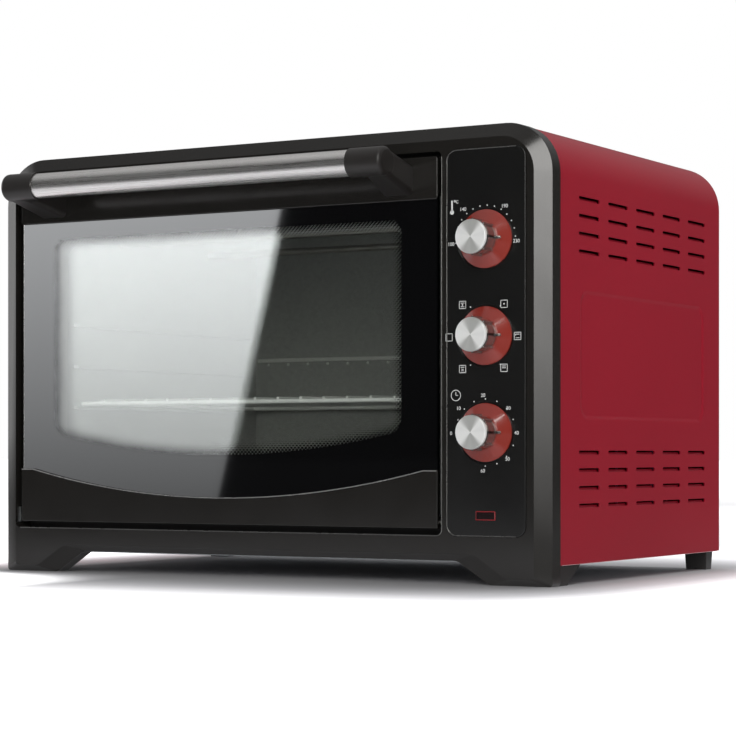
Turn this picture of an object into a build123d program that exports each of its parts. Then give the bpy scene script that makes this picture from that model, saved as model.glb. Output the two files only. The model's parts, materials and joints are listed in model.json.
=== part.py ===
from build123d import *
import os

# Electric countertop oven. Sizes in millimetres: X to the right, Y to the back, Z up.
# Heights start at the table, depths at the front frame's face, widths at the middle of the body.

# Overall body
body_width = 565.0
body_height = 381.0
body_depth = 367.0
foot_height = 17.0
corner_radius = 42.0
sheet = 1.0
seat_gap = 0.3
seam_gap = 0.4
running_gap = 0.05

# Front frame moulding
frame_depth = 21.0
frame_wall = 3.0
bevel_depth = 6.0
bevel_side = 14.0
bevel_top = 11.3
bevel_bottom = 5.5
bevel_foot = 18.5
face_corner_radius = 30.0
toe_radius = 3.0
foot_width = 58.0
arch_run = 30.0
rail_underside = 19.5
heel_radius = 8.0
arch_radius = 14.0
sill_height = 40.4
head_rim = 20.0
opening_radius = 5.0

# Control fascia
bead_width = 5.0
fascia_width = 73.5
fascia_rim = 7.0
fascia_thickness = 3.0
fascia_proud = 0.8
fascia_edge = 0.6
fascia_radius = 9.0
fascia_land = 4.0
fascia_seam = 0.25
knob_inset = 36.5
knob_pitch = 79.8
knob_middle_rise = 5.3
dial_recess_radius = 25.9
dial_recess_depth = 1.2
lens_width = 18.3
lens_height = 7.6
lens_rise = 17.2
lens_flange = 2.0
lens_flange_thickness = 1.5

# Outer case
slot_length = 40.5
slot_height = 3.4
slot_columns = 5
slot_rows = 4
slot_pitch_y = 58.5
slot_pitch_z = 14.8
upper_slots_drop = 80.9
lower_slots_rise = 70.5
emboss_length = 270.0
emboss_height = 109.0
emboss_drop = 7.3
emboss_depth = 1.0
emboss_radius = 12.0
hem_width = 9.0
cover_screw_rows = 3
cover_screw_inset = 40.0

# Back and feet
rear_inset = 1.0
rear_slot_length = 60.0
rear_slot_rows = 8
rear_slot_columns = 3
rear_slot_pitch = 12.0
rear_slot_column_pitch = 90.0
rear_slot_drop = 90.6
front_foot_width = 19.0
front_foot_top = 41.0
front_foot_bottom = 15.0
rear_foot_width = 22.0
rear_foot_length = 15.0
rear_foot_setback = 14.0
rear_foot_taper = 1.0
gland_radius = 7.0
gland_flange = 3.0
gland_reach = 5.0
gland_bore_radius = 3.6
gland_height = 60.0
gland_inset = 60.0

# Cavity
cavity_side_margin = 36.75
cavity_floor_rise = 16.0
cavity_ceiling_drop = 25.5
cavity_back_gap = 20.0
mouth_radius = 6.0
runner_levels = 4
runner_pitch = 38.5
runner_first_rise = 52.7
runner_depth = 6.0
runner_height = 3.0
runner_front_gap = 12.0
runner_back_gap = 14.0
shield_offset = 22.0
support_width = 14.0
support_inset = 60.0
support_end_gap = 30.0

# Heating elements
element_radius = 3.25
element_spread = 150.0
element_wall_gap = 22.0
element_reach = 12.0
terminal_radius = 1.5
terminal_length = 6.0
insulator_radius = 5.5
insulator_flange = 2.5
insulator_flange_thickness = 3.0

# Door
door_side_gap = 5.0
door_top_gap = 3.5
door_bottom_gap = 5.6
door_recess = 2.0
door_thickness = 17.0
rail_face_thickness = 2.0
top_rail_height = 36.0
bottom_rail_low = 24.2
bottom_rail_high = 49.0
bottom_rail_flat = 14.0
rail_block_height = 10.0
rail_edge = 1.0
glass_thickness = 4.0
glass_side_gap = 1.2
glass_overlap = 3.5
inner_frame_side_gap = 3.0
window_side_margin = 41.75
window_top_gap = 57.0
window_bottom_gap = 63.0
window_radius = 12.0
pane_land = 6.0
hinge_pin_radius = 2.5
hinge_height = 5.0
hinge_setback = 8.0
hinge_pin_grip = 14.0
hinge_bracket_thickness = 1.5
hinge_bracket_height = 14.0
hinge_bracket_depth = 16.0

# Handle
handle_radius = 11.2
handle_wall = 1.2
handle_standoff = 46.0
handle_drop = 7.5
handle_span = 329.0
handle_end_length = 34.5
handle_grip = 14.0
sleeve_radius = 12.3
sleeve_rounding = 4.0
leg_base_width = 29.0
leg_base_height = 26.0
leg_base_drop = 11.0
leg_top_width = 22.0
leg_side_step = 2.0
leg_rounding = 5.0

# Knobs
skirt_radius = 24.3
skirt_rim = 2.5
skirt_edge = 0.8
skirt_hub_radius = 14.6
skirt_hub_height = 8.0
drum_radius = 13.4
drum_length = 13.3
rib_count = 8
rib_width = 1.3
rib_reach = 15.2
rib_lead = 0.8
neck_radius = 12.4
neck_length = 4.0
cap_radius = 14.1
cap_thickness = 2.5
cap_chamfer = 0.6
pointer_reach = 18.0
pointer_width = 2.2
pointer_height = 1.2
shaft_radius = 3.0
shaft_grip = 14.0
shaft_depth = 12.0
shaft_window_radius = 5.0

# Controls
thermostat_size = (38.0, 30.0, 30.0)
selector_size = (36.0, 34.0, 36.0)
timer_size = (46.0, 40.0, 50.0)
bell_radius = 17.0
bell_height = 9.0
control_screw_spacing = 28.0
terminal_block_size = (54.0, 22.0, 18.0)
terminal_block_inset = 70.0
wire_radius = 1.2
wire_bend = 20.0
wire_offsets = {"temperature": -16.0, "function": 0.0, "timer": 20.0}

# Screws
screw_radius = 2.0
screw_head_radius = 3.8
screw_head_height = 2.2
handle_screw_head_height = 1.2
screw_grip = 8.0

# Rack
rack_side_gap = 1.0
rack_front_gap = 20.0
rack_back_gap = 8.0
rack_bar_radius = 2.0
rack_wire_radius = 1.3
rack_wire_pitch = 24.0
rack_weld = 0.5
rack_level = 1

# Oven lamp
lamp_glass_radius = 17.0
lamp_glass_depth = 7.0
lamp_hole_radius = 13.0
lamp_holder_length = 19.0
lamp_glass_rounding = 4.2
lamp_holder_radius = 15.0
lamp_setback = 235.0

# Places worked out from the sizes above
half_width = body_width / 2
opening_left = -half_width + bevel_side
fascia_right = half_width - bevel_side - fascia_rim
fascia_left = fascia_right - fascia_width
opening_right = fascia_left - bead_width
opening_top = body_height - head_rim
knob_x = fascia_left + knob_inset
knob_middle_height = (sill_height + opening_top) / 2 + knob_middle_rise
lens_middle_height = sill_height + lens_rise
knob_heights = {
    "temperature": knob_middle_height + knob_pitch,
    "function": knob_middle_height,
    "timer": knob_middle_height - knob_pitch,
}

case_side_step = 0.3
case_top = body_height - seam_gap
case_half_width = half_width - case_side_step
case_front = frame_depth + seam_gap
case_inner_half_width = case_half_width - sheet
panel_back = frame_depth + sheet
base_top = foot_height + 2 * sheet
upper_slots_height = case_top - upper_slots_drop
lower_slots_height = foot_height + lower_slots_rise
emboss_middle_height = (foot_height + case_top) / 2 - emboss_drop
rear_slot_middle_height = case_top - rear_slot_drop
cover_back = body_depth - rear_inset
cover_front = cover_back - sheet

door_middle = (opening_left + opening_right) / 2
door_half_width = (opening_right - opening_left) / 2 - door_side_gap
door_left = door_middle - door_half_width
door_right = door_middle + door_half_width
door_bottom = sill_height + door_bottom_gap
door_top = opening_top - door_top_gap
door_front = door_recess
door_back = door_front + door_thickness
glass_front = door_front + rail_face_thickness
glass_back = glass_front + glass_thickness
top_rail_bottom = door_top - top_rail_height
top_block_bottom = top_rail_bottom + glass_overlap
bottom_block_top = door_bottom + rail_block_height
window_width = 2 * (door_half_width - window_side_margin)
window_top = door_top - window_top_gap
window_bottom = door_bottom + window_bottom_gap
hinge_y = door_front + hinge_setback
hinge_z = door_bottom + hinge_height

cavity_floor_height = door_bottom + cavity_floor_rise
cavity_ceiling_height = door_top - cavity_ceiling_drop
runner_first_height = cavity_floor_height + runner_first_rise
cavity_left = door_left + cavity_side_margin
cavity_right = door_right - cavity_side_margin
cavity_width = cavity_right - cavity_left
cavity_back = cover_front - cavity_back_gap
element_y = ((panel_back + cavity_back - element_spread) / 2, (panel_back + cavity_back + element_spread) / 2)
lower_element_height = cavity_floor_height + element_wall_gap
upper_element_height = cavity_ceiling_height - element_wall_gap

handle_y = door_front - handle_standoff
handle_z = door_top - handle_drop
handle_inner = handle_span / 2
handle_outer = handle_inner + handle_end_length

fascia_front = -fascia_proud
fascia_back = fascia_front + fascia_thickness
recess_floor = fascia_front + dial_recess_depth
skirt_back = recess_floor - seat_gap
skirt_front = skirt_back - skirt_rim
hub_front = skirt_back - skirt_hub_height
drum_front = hub_front - drum_length
neck_front = drum_front - neck_length
cap_front = neck_front - cap_thickness

rack_half_width = cavity_width / 2 - rack_side_gap
runner_tops = [runner_first_height + level * runner_pitch for level in range(runner_levels)]
rack_height = runner_tops[rack_level] + seat_gap + rack_bar_radius
lamp_middle_height = (runner_tops[-1] + upper_element_height - element_radius) / 2
rack_front = panel_back + rack_front_gap
rack_back = cavity_back - rack_back_gap

handle_front = handle_y - sleeve_radius
rear_end = cover_back + gland_reach
origin_y = (handle_front + rear_end) / 2


def box(x0, x1, y0, y1, z0, z1):
    """A block between two corners."""
    middle = Pos((x0 + x1) / 2, (y0 + y1) / 2, (z0 + z1) / 2)
    return middle * Box(x1 - x0, y1 - y0, z1 - z0)


def rod_x(x0, x1, y, z, radius):
    """A round bar along X."""
    return Pos((x0 + x1) / 2, y, z) * Rot(0, 90, 0) * Cylinder(radius, x1 - x0)


def rod_y(x, y0, y1, z, radius):
    """A round bar along Y."""
    return Pos(x, (y0 + y1) / 2, z) * Rot(90, 0, 0) * Cylinder(radius, y1 - y0)


def rod_z(x, y, z0, z1, radius):
    """A round bar along Z."""
    return Pos(x, y, (z0 + z1) / 2) * Cylinder(radius, z1 - z0)


def front_plane(y):
    """The sketch plane that faces the front at one depth."""
    return Plane(origin=(0, y, 0), x_dir=(1, 0, 0), z_dir=(0, -1, 0))


def side_plane(x):
    """The sketch plane that faces the right at one width."""
    return Plane(origin=(x, 0, 0), x_dir=(0, 1, 0), z_dir=(1, 0, 0))


def slab(sketch, y0, y1):
    """A front-facing sketch made solid between two depths."""
    return extrude(front_plane(y1) * sketch, y1 - y0)


def rounded_window(x0, x1, z0, z1, radius):
    """A rounded rectangle given by its edges."""
    return Pos((x0 + x1) / 2, (z0 + z1) / 2) * RectangleRounded(x1 - x0, z1 - z0, radius)


def turned(profile, y_axis_x, y_axis_z):
    """A profile of (radius, depth) points turned about a front-to-back axis."""
    outline = make_face(Polyline(*[(radius, -depth) for radius, depth in profile], close=True))
    face = Plane(origin=(y_axis_x, 0, y_axis_z), x_dir=(1, 0, 0), z_dir=(0, 0, 1)) * mirror_depth(outline)
    return revolve(face, Axis((y_axis_x, 0, y_axis_z), (0, 1, 0)))


def mirror_depth(outline):
    """Flips a flat outline so that its depth grows towards the back."""
    return mirror(outline, Plane.XZ)


def screw(x, y, z, direction):
    """A pan-head screw whose head rests at a point and whose shank runs along a direction."""
    plane = Plane(origin=(x, y, z), z_dir=direction)
    shank = extrude(plane * Circle(screw_radius), screw_grip)
    head = extrude(plane * Circle(screw_head_radius), -screw_head_height)
    return fuse(shank, head)


def mirrored_pair(right):
    """A piece and its mirror image across the middle."""
    return Compound(children=[right, mirror(right, Plane.YZ)])


def fuse(first, *others):
    """Several overlapping solids joined into one."""
    whole = first
    for other in others:
        whole = whole + other
    return whole


# Front frame


def frame_outline(side, top, bottom, foot, corner, toe):
    """The frame's outline with its two feet, drawn in from the outer edge."""
    edge = half_width - side
    toe_x = half_width - foot_width + foot
    arch_x = toe_x - arch_run
    ceiling = rail_underside + bottom
    points = [
        (-edge, bottom), (-edge, body_height - top), (edge, body_height - top), (edge, bottom),
        (toe_x, bottom), (arch_x, ceiling), (-arch_x, ceiling), (-toe_x, bottom),
    ]
    radii = [toe, corner, corner, toe, heel_radius, arch_radius, arch_radius, heel_radius]
    return make_face(FilletPolyline(*points, radius=radii, close=True))


def door_opening(growth=0.0):
    """The frame's door opening, grown all round."""
    return rounded_window(
        opening_left - growth, opening_right + growth, sill_height - growth, opening_top + growth,
        opening_radius + growth,
    )


def fascia_face(growth=0.0):
    """The control fascia's face, grown all round."""
    return rounded_window(
        fascia_left - growth, fascia_right + growth, sill_height - growth, opening_top + growth,
        fascia_radius + growth,
    )


def make_front_frame():
    """The black moulding round the door and the fascia, with the front feet."""
    outer = frame_outline(0, 0, 0, 0, corner_radius, toe_radius)
    face = frame_outline(bevel_side, bevel_top, bevel_bottom, bevel_foot, face_corner_radius, toe_radius)
    front = loft([front_plane(bevel_depth) * outer, front_plane(0) * face], ruled=True)
    shell = front + slab(outer, bevel_depth, frame_depth)
    hollow = offset(outer, -frame_wall, kind=Kind.INTERSECTION) - door_opening(frame_wall)
    shell -= slab(hollow, bevel_depth + frame_wall, frame_depth)
    shell -= slab(door_opening(), 0, frame_depth)
    shell -= slab(fascia_face(fascia_seam), 0, fascia_back)
    shell -= slab(fascia_face(-fascia_land), 0, frame_depth)
    return shell


def make_control_fascia():
    """The control plate with its three dial recesses and the lens window."""
    plate = slab(fascia_face(), fascia_front, fascia_back)
    front_edges = plate.faces().sort_by(Axis.Y)[0].edges()
    plate = chamfer(front_edges, fascia_edge)
    for height in knob_heights.values():
        plate -= rod_y(knob_x, fascia_front, recess_floor, height, dial_recess_radius)
        plate -= rod_y(knob_x, fascia_front, fascia_back, height, shaft_window_radius)
    window = Pos(knob_x, lens_middle_height) * Rectangle(lens_width + 2 * running_gap, lens_height + 2 * running_gap)
    plate -= slab(window, fascia_front, fascia_back)
    return plate


def make_indicator_lens():
    """The red window of the pilot light, with the flange behind the fascia."""
    window = Pos(knob_x, lens_middle_height) * Rectangle(lens_width, lens_height)
    flange = Pos(knob_x, lens_middle_height) * Rectangle(lens_width + 2 * lens_flange, lens_height + 2 * lens_flange)
    lens = slab(window, fascia_front - seat_gap, fascia_back)
    return lens + slab(flange, fascia_back, fascia_back + lens_flange_thickness)


def make_indicator_lamp():
    """The pilot lamp between the lens and the front panel."""
    holder = Pos(knob_x, lens_middle_height) * Rectangle(lens_width, lens_height)
    return slab(holder, fascia_back + lens_flange_thickness, frame_depth)


# Case


def case_profile(inset, bottom):
    """The case's front view, drawn in by an inset, from a bottom height up."""
    edge = case_half_width - inset
    top = case_top - inset
    radius = corner_radius - inset
    points = [(-edge, bottom), (-edge, top), (edge, top), (edge, bottom)]
    return make_face(FilletPolyline(*points, radius=[0, radius, radius, 0], close=True))


def slots_at(height):
    """A group of slots through both side walls."""
    middle = (case_front + body_depth) / 2
    shape = SlotOverall(slot_length, slot_height)
    cutters = []
    for column in range(slot_columns):
        for row in range(slot_rows):
            y = middle + (column - (slot_columns - 1) / 2) * slot_pitch_y
            z = height + (row - (slot_rows - 1) / 2) * slot_pitch_z
            place = Plane(origin=(-half_width, y, z), x_dir=(0, 1, 0), z_dir=(1, 0, 0))
            cutters.append(extrude(place * shape, body_width))
    return cutters


def emboss_block(side, x_from, x_to, growth):
    """The pressed rectangle of one side wall between two widths."""
    middle = (case_front + body_depth) / 2
    shape = RectangleRounded(emboss_length + 2 * growth, emboss_height + 2 * growth, emboss_radius + growth)
    low, high = sorted((side * x_from, side * x_to))
    place = Plane(origin=(low, middle, emboss_middle_height), x_dir=(0, 1, 0), z_dir=(1, 0, 0))
    return extrude(place * shape, high - low)


def cover_screw_places():
    """Where the rear cover's screws go, as (x, z) along the case's rear flange."""
    reach = case_half_width - (sheet + hem_width) / 2
    low = base_top + cover_screw_inset
    high = case_top - corner_radius
    step = (high - low) / (cover_screw_rows - 1)
    sides = [(side * reach, low + row * step) for side in (-1, 1) for row in range(cover_screw_rows)]
    top = case_top - (sheet + hem_width) / 2
    return sides + [(side * case_half_width / 2, top) for side in (-1, 1)]


def cover_screw_holes():
    """The rods that open the rear cover and the case's flange for their screws."""
    return [
        rod_y(x, cover_front - sheet, cover_back, z, screw_radius + running_gap) for x, z in cover_screw_places()
    ]


def foot_screw_places():
    """Where the feet are screwed to the hems, as (x, y)."""
    x = case_half_width - (sheet + hem_width) / 2
    front = case_front + front_foot_bottom / 2
    rear = body_depth - rear_foot_setback - rear_foot_length / 2
    return [(side * x, y) for side in (-1, 1) for y in (front, rear)]


def foot_screw_holes():
    """The rods that open the base plate, the hems and the feet for their screws."""
    low = base_top - screw_grip
    return [rod_z(x, y, low, base_top, screw_radius + running_gap) for x, y in foot_screw_places()]


def make_outer_case():
    """The red sheet that wraps the left side, the top and the right side."""
    wrap = slab(case_profile(0, foot_height), case_front, body_depth)
    wrap -= slab(case_profile(sheet, foot_height + sheet), case_front, body_depth)
    span = case_half_width - hem_width
    wrap -= box(-span, span, case_front, body_depth, foot_height, foot_height + sheet)
    for side in (-1, 1):
        wrap += emboss_block(side, case_inner_half_width, case_inner_half_width - emboss_depth, sheet)
        wrap -= emboss_block(side, case_half_width, case_half_width - emboss_depth, 0)
    wrap += slab(case_profile(sheet, base_top) - case_profile(hem_width, base_top), cover_front - sheet, cover_front)
    wrap -= slots_at(upper_slots_height) + slots_at(lower_slots_height)
    return wrap - cover_screw_holes() - foot_screw_holes()


def make_base_plate():
    """The bottom sheet that lies on the case's folded hems."""
    plate = box(-case_inner_half_width, case_inner_half_width, frame_depth, cover_back, base_top - sheet, base_top)
    return plate - foot_screw_holes()


def make_front_panel():
    """The steel front wall with the cavity mouth and the control shafts' holes."""
    panel = slab(case_profile(sheet, base_top), frame_depth, panel_back)
    mouth = rounded_window(cavity_left, cavity_right, cavity_floor_height, cavity_ceiling_height, mouth_radius)
    panel -= slab(mouth, frame_depth, panel_back)
    for height in knob_heights.values():
        panel -= rod_y(knob_x, frame_depth, panel_back, height, shaft_radius + seat_gap)
        for side in (-1, 1):
            x = knob_x + side * control_screw_spacing / 2
            panel -= rod_y(x, frame_depth, panel_back, height, screw_radius + running_gap)
    return panel


def make_rear_cover():
    """The rear sheet with its vent slots and the cord outlet."""
    cover = slab(case_profile(sheet, base_top), cover_front, cover_back)
    shape = SlotOverall(rear_slot_length, slot_height)
    cutters = []
    for column in range(rear_slot_columns):
        for row in range(rear_slot_rows):
            x = (column - (rear_slot_columns - 1) / 2) * rear_slot_column_pitch
            z = rear_slot_middle_height + (row - (rear_slot_rows - 1) / 2) * rear_slot_pitch
            cutters.append(extrude(front_plane(cover_back) * Pos(x, z) * shape, sheet))
    cover -= cutters + cover_screw_holes()
    return cover - rod_y(gland_x(), cover_front, cover_back, gland_height, gland_radius + running_gap)


def gland_x():
    """The cord gland's place across the back."""
    return case_inner_half_width - gland_inset


def make_cord_gland():
    """The bush in the rear cover that the supply cord leaves through."""
    x = gland_x()
    bush = rod_y(x, cover_front - gland_reach, rear_end, gland_height, gland_radius)
    flange = rod_y(x, cover_back, rear_end, gland_height, gland_radius + gland_flange)
    collar = rod_y(x, cover_front - gland_reach, cover_front, gland_height, gland_radius + gland_flange)
    bore = rod_y(x, cover_front - gland_reach, rear_end, gland_height, gland_bore_radius)
    return fuse(bush, flange, collar) - bore


def make_front_feet():
    """The two blocks behind the frame's feet."""
    outer = case_half_width - sheet
    inner = outer - front_foot_width
    outline = make_face(Polyline(
        (case_front, 0), (case_front + front_foot_bottom, 0), (case_front + front_foot_top, foot_height),
        (case_front, foot_height), close=True,
    ))
    right = extrude(side_plane(inner) * outline, outer - inner)
    return mirrored_pair(right - foot_screw_holes())


def make_rear_feet():
    """The two tapered blocks under the back corners."""
    outer = case_half_width - sheet
    middle_x = outer - rear_foot_width / 2
    middle_y = body_depth - rear_foot_setback - rear_foot_length / 2
    top = Pos(middle_x, middle_y, foot_height) * Rectangle(rear_foot_width, rear_foot_length)
    taper = 2 * rear_foot_taper
    bottom = Pos(middle_x, middle_y, 0) * Rectangle(rear_foot_width - taper, rear_foot_length - taper)
    right = loft([bottom, top], ruled=True)
    return mirrored_pair(right - foot_screw_holes())


def make_rear_screws():
    """The screws that hold the rear cover."""
    return Compound(children=[screw(x, cover_back, z, (0, -1, 0)) for x, z in cover_screw_places()])


def make_foot_screws():
    """The screws that hold the feet."""
    return Compound(children=[screw(x, y, base_top, (0, 0, -1)) for x, y in foot_screw_places()])


# Cavity


def element_holes():
    """The rods that open the side walls for the element insulators."""
    holes = []
    for y in element_y:
        for z in (lower_element_height, upper_element_height):
            holes.append((y, z))
    return holes


def cavity_wall(inner_face, outward):
    """One side wall, with its rack runners and element holes."""
    outer_face = inner_face + outward * sheet
    low, high = sorted((inner_face, outer_face))
    wall = box(low, high, panel_back, cavity_back + sheet, cavity_floor_height - sheet, cavity_ceiling_height + sheet)
    ledge = inner_face - outward * runner_depth
    low_ledge, high_ledge = sorted((inner_face, ledge))
    for top in runner_tops:
        wall += box(
            low_ledge, high_ledge, panel_back + runner_front_gap, cavity_back - runner_back_gap,
            top - runner_height, top,
        )
    for y, z in element_holes():
        wall -= rod_x(low, high, y, z, insulator_radius + running_gap)
    return wall


def make_cavity_left_wall():
    """The cavity's left wall."""
    return cavity_wall(cavity_left, -1)


def make_cavity_right_wall():
    """The cavity's right wall, with the lamp hole."""
    wall = cavity_wall(cavity_right, 1)
    y = panel_back + lamp_setback
    return wall - rod_x(cavity_right, cavity_right + sheet, y, lamp_middle_height, lamp_hole_radius)


def make_cavity_floor():
    """The cavity's floor."""
    return box(
        cavity_left, cavity_right, panel_back, cavity_back + sheet,
        cavity_floor_height - sheet, cavity_floor_height,
    )


def make_cavity_ceiling():
    """The cavity's ceiling."""
    return box(
        cavity_left, cavity_right, panel_back, cavity_back + sheet,
        cavity_ceiling_height, cavity_ceiling_height + sheet,
    )


def make_cavity_back_wall():
    """The cavity's back wall."""
    return box(
        cavity_left, cavity_right, cavity_back, cavity_back + sheet,
        cavity_floor_height, cavity_ceiling_height,
    )


def make_cavity_supports():
    """The two channels that carry the cavity's floor on the base plate."""
    channels = []
    y0, y1 = panel_back + support_end_gap, cavity_back - support_end_gap
    top = cavity_floor_height - sheet
    for side in (-1, 1):
        x = door_middle + side * (cavity_width / 2 - support_inset)
        x0, x1 = x - support_width / 2, x + support_width / 2
        channel = box(x0, x1, y0, y1, base_top, top)
        channels.append(channel - box(x0, x1 - sheet, y0, y1, base_top + sheet, top - sheet))
    return Compound(children=channels)


def make_heat_shield():
    """The sheet between the hot cavity and the control compartment."""
    x = cavity_right + sheet + shield_offset
    return box(x, x + sheet, panel_back, cover_front, base_top, case_top - corner_radius)


def make_element(y, z):
    """One straight tubular element with its two terminals."""
    x0 = cavity_left - sheet - element_reach
    x1 = cavity_right + sheet + element_reach
    sheath = rod_x(x0, x1, y, z, element_radius)
    terminals = rod_x(x0 - terminal_length, x1 + terminal_length, y, z, terminal_radius)
    return sheath + terminals


def make_element_insulators():
    """The ceramic bushes that hold the elements in the side walls."""
    bushes = []
    for y, z in element_holes():
        for inner_face, outward in ((cavity_left, -1), (cavity_right, 1)):
            outer_face = inner_face + outward * sheet
            low, high = sorted((inner_face, outer_face + outward * insulator_flange_thickness))
            flange_low, flange_high = sorted((outer_face, outer_face + outward * insulator_flange_thickness))
            bush = rod_x(low, high, y, z, insulator_radius)
            bush += rod_x(flange_low, flange_high, y, z, insulator_radius + insulator_flange)
            bushes.append(bush - rod_x(low, high, y, z, element_radius + running_gap))
    return Compound(children=bushes)


def make_oven_lamp_glass():
    """The domed glass over the oven lamp, on the right wall."""
    y = panel_back + lamp_setback
    base = rod_x(cavity_right - lamp_glass_depth, cavity_right, y, lamp_middle_height, lamp_glass_radius)
    rim = base.faces().sort_by(Axis.X)[0].edges()
    return fillet(rim, lamp_glass_rounding)


def make_oven_lamp_holder():
    """The lamp holder behind the right wall."""
    y = panel_back + lamp_setback
    x = cavity_right + sheet
    return rod_x(x, x + lamp_holder_length, y, lamp_middle_height, lamp_holder_radius)


def make_wire_rack():
    """The wire rack: a bar frame with wires from front to back."""
    left = door_middle - rack_half_width + rack_bar_radius
    right = door_middle + rack_half_width - rack_bar_radius
    front = rack_front + rack_bar_radius
    back = rack_back - rack_bar_radius
    bars = [
        rod_x(left, right, front, rack_height, rack_bar_radius),
        rod_x(left, right, back, rack_height, rack_bar_radius),
        rod_y(left, front, back, rack_height, rack_bar_radius),
        rod_y(right, front, back, rack_height, rack_bar_radius),
    ]
    corners = [Pos(x, y, rack_height) * Sphere(rack_bar_radius) for x in (left, right) for y in (front, back)]
    wire_height = rack_height + rack_bar_radius + rack_wire_radius - rack_weld
    count = int((right - left - rack_wire_pitch / 2) / rack_wire_pitch)
    start = door_middle - (count - 1) * rack_wire_pitch / 2
    wires = [
        rod_y(start + index * rack_wire_pitch, front - rack_bar_radius / 2, back + rack_bar_radius / 2,
              wire_height, rack_wire_radius)
        for index in range(count)
    ]
    return fuse(bars[0], *bars[1:], *corners, *wires)


# Controls


def make_control(size, height):
    """One control behind the front panel, with the bore for its shaft."""
    width, depth, tall = size
    body = box(
        knob_x - width / 2, knob_x + width / 2, panel_back, panel_back + depth,
        height - tall / 2, height + tall / 2,
    )
    body -= rod_y(knob_x, panel_back, panel_back + shaft_depth, height, shaft_radius + running_gap)
    for side in (-1, 1):
        x = knob_x + side * control_screw_spacing / 2
        body -= rod_y(x, panel_back, panel_back + screw_grip, height, screw_radius + running_gap)
    return body


def make_timer_bell():
    """The timer's bell dome."""
    y = panel_back + timer_size[1]
    return rod_y(knob_x, y, y + bell_height, knob_heights["timer"], bell_radius)


def make_control_screws():
    """The screws that hold the three controls to the front panel."""
    screws = []
    for height in knob_heights.values():
        for side in (-1, 1):
            x = knob_x + side * control_screw_spacing / 2
            screws.append(screw(x, frame_depth, height, (0, 1, 0)))
    return Compound(children=screws)


def make_terminal_block():
    """The supply terminal block on the base plate."""
    width, depth, tall = terminal_block_size
    y = cover_front - terminal_block_inset
    return box(knob_x - width / 2, knob_x + width / 2, y - depth / 2, y + depth / 2, base_top, base_top + tall)


def make_wiring():
    """The three wires from the terminal block to the backs of the controls."""
    block_y = cover_front - terminal_block_inset
    block_top = base_top + terminal_block_size[2]
    backs = {"temperature": thermostat_size[1], "function": selector_size[1], "timer": timer_size[1]}
    wires = []
    for name, offset_x in wire_offsets.items():
        x = knob_x + offset_x
        z = knob_heights[name]
        path = FilletPolyline(
            (x, block_y, block_top), (x, block_y, z), (x, panel_back + backs[name], z), radius=wire_bend)
        section = Plane(origin=(x, block_y, block_top), z_dir=(0, 0, 1)) * Circle(wire_radius)
        wires.append(sweep(section, path))
    return Compound(children=wires)


# Door


def bottom_rail_outline():
    """The bottom rail's face: flat ends and an arc that dips in the middle."""
    high = door_bottom + bottom_rail_high
    low = door_bottom + bottom_rail_low
    reach = door_half_width - bottom_rail_flat
    edges = Polyline(
        (-reach, high), (-door_half_width, high), (-door_half_width, door_bottom),
        (door_half_width, door_bottom), (door_half_width, high), (reach, high),
    )
    dip = ThreePointArc((reach, high), (0, low), (-reach, high))
    return Pos(door_middle, 0) * make_face(edges + dip)


def make_door_bottom_rail():
    """The door's bottom rail: a face plate and the block that holds the pins."""
    rail = slab(bottom_rail_outline(), door_front, glass_front)
    rail = fillet(rail.faces().sort_by(Axis.Y)[0].edges(), rail_edge)
    block = box(door_left, door_right, glass_front, door_back, door_bottom, bottom_block_top)
    rail += block
    for side in (-1, 1):
        x0, x1 = sorted((side * door_half_width, side * (door_half_width - hinge_pin_grip)))
        rail -= rod_x(door_middle + x0, door_middle + x1, hinge_y, hinge_z, hinge_pin_radius + running_gap)
    return rail


def make_door_top_rail():
    """The door's top rail, which carries the handle."""
    face = Pos(door_middle, (top_rail_bottom + door_top) / 2) * RectangleRounded(
        2 * door_half_width, top_rail_height, opening_radius / 2)
    rail = slab(face, door_front, glass_front)
    rail = fillet(rail.faces().sort_by(Axis.Y)[0].edges(), rail_edge)
    rail += slab(
        rounded_window(door_left, door_right, top_block_bottom, door_top, opening_radius / 2),
        glass_front, door_back,
    )
    for side in (-1, 1):
        x = door_middle + side * leg_base_middle()
        rail -= rod_y(x, door_front, door_back, leg_base_height_middle(), screw_radius + running_gap)
    return rail


def glass_pane(side_gap, low, high, front, back):
    """A flat pane or frame blank inside the door."""
    return box(door_left + side_gap, door_right - side_gap, front, back, low, high)


def make_door_glass():
    """The door's outer glass."""
    return glass_pane(glass_side_gap, bottom_block_top, top_block_bottom, glass_front, glass_back)


def window_box(growth, front, back):
    """The door's window, grown all round, between two depths."""
    half = window_width / 2 + growth
    shape = rounded_window(
        door_middle - half, door_middle + half, window_bottom - growth, window_top + growth,
        window_radius + growth,
    )
    return slab(shape, front, back)


def make_door_inner_frame():
    """The pressed steel frame behind the outer glass."""
    tray = glass_pane(inner_frame_side_gap, bottom_block_top, top_block_bottom, glass_back, door_back)
    tray -= glass_pane(
        inner_frame_side_gap + sheet, bottom_block_top + sheet, top_block_bottom - sheet,
        glass_back, door_back - sheet,
    )
    return tray - window_box(0, glass_back, door_back)


def make_door_inner_glass():
    """The door's inner glass, laid against the inner frame's face from inside."""
    face = door_back - sheet
    return window_box(pane_land, face - glass_thickness, face)


def make_hinge_pins():
    """The two pins that the door turns on."""
    pins = []
    for side in (-1, 1):
        outer = door_half_width + door_side_gap - seat_gap
        x0, x1 = sorted((side * outer, side * (door_half_width - hinge_pin_grip)))
        pins.append(rod_x(door_middle + x0, door_middle + x1, hinge_y, hinge_z, hinge_pin_radius))
    return Compound(children=pins)


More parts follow.
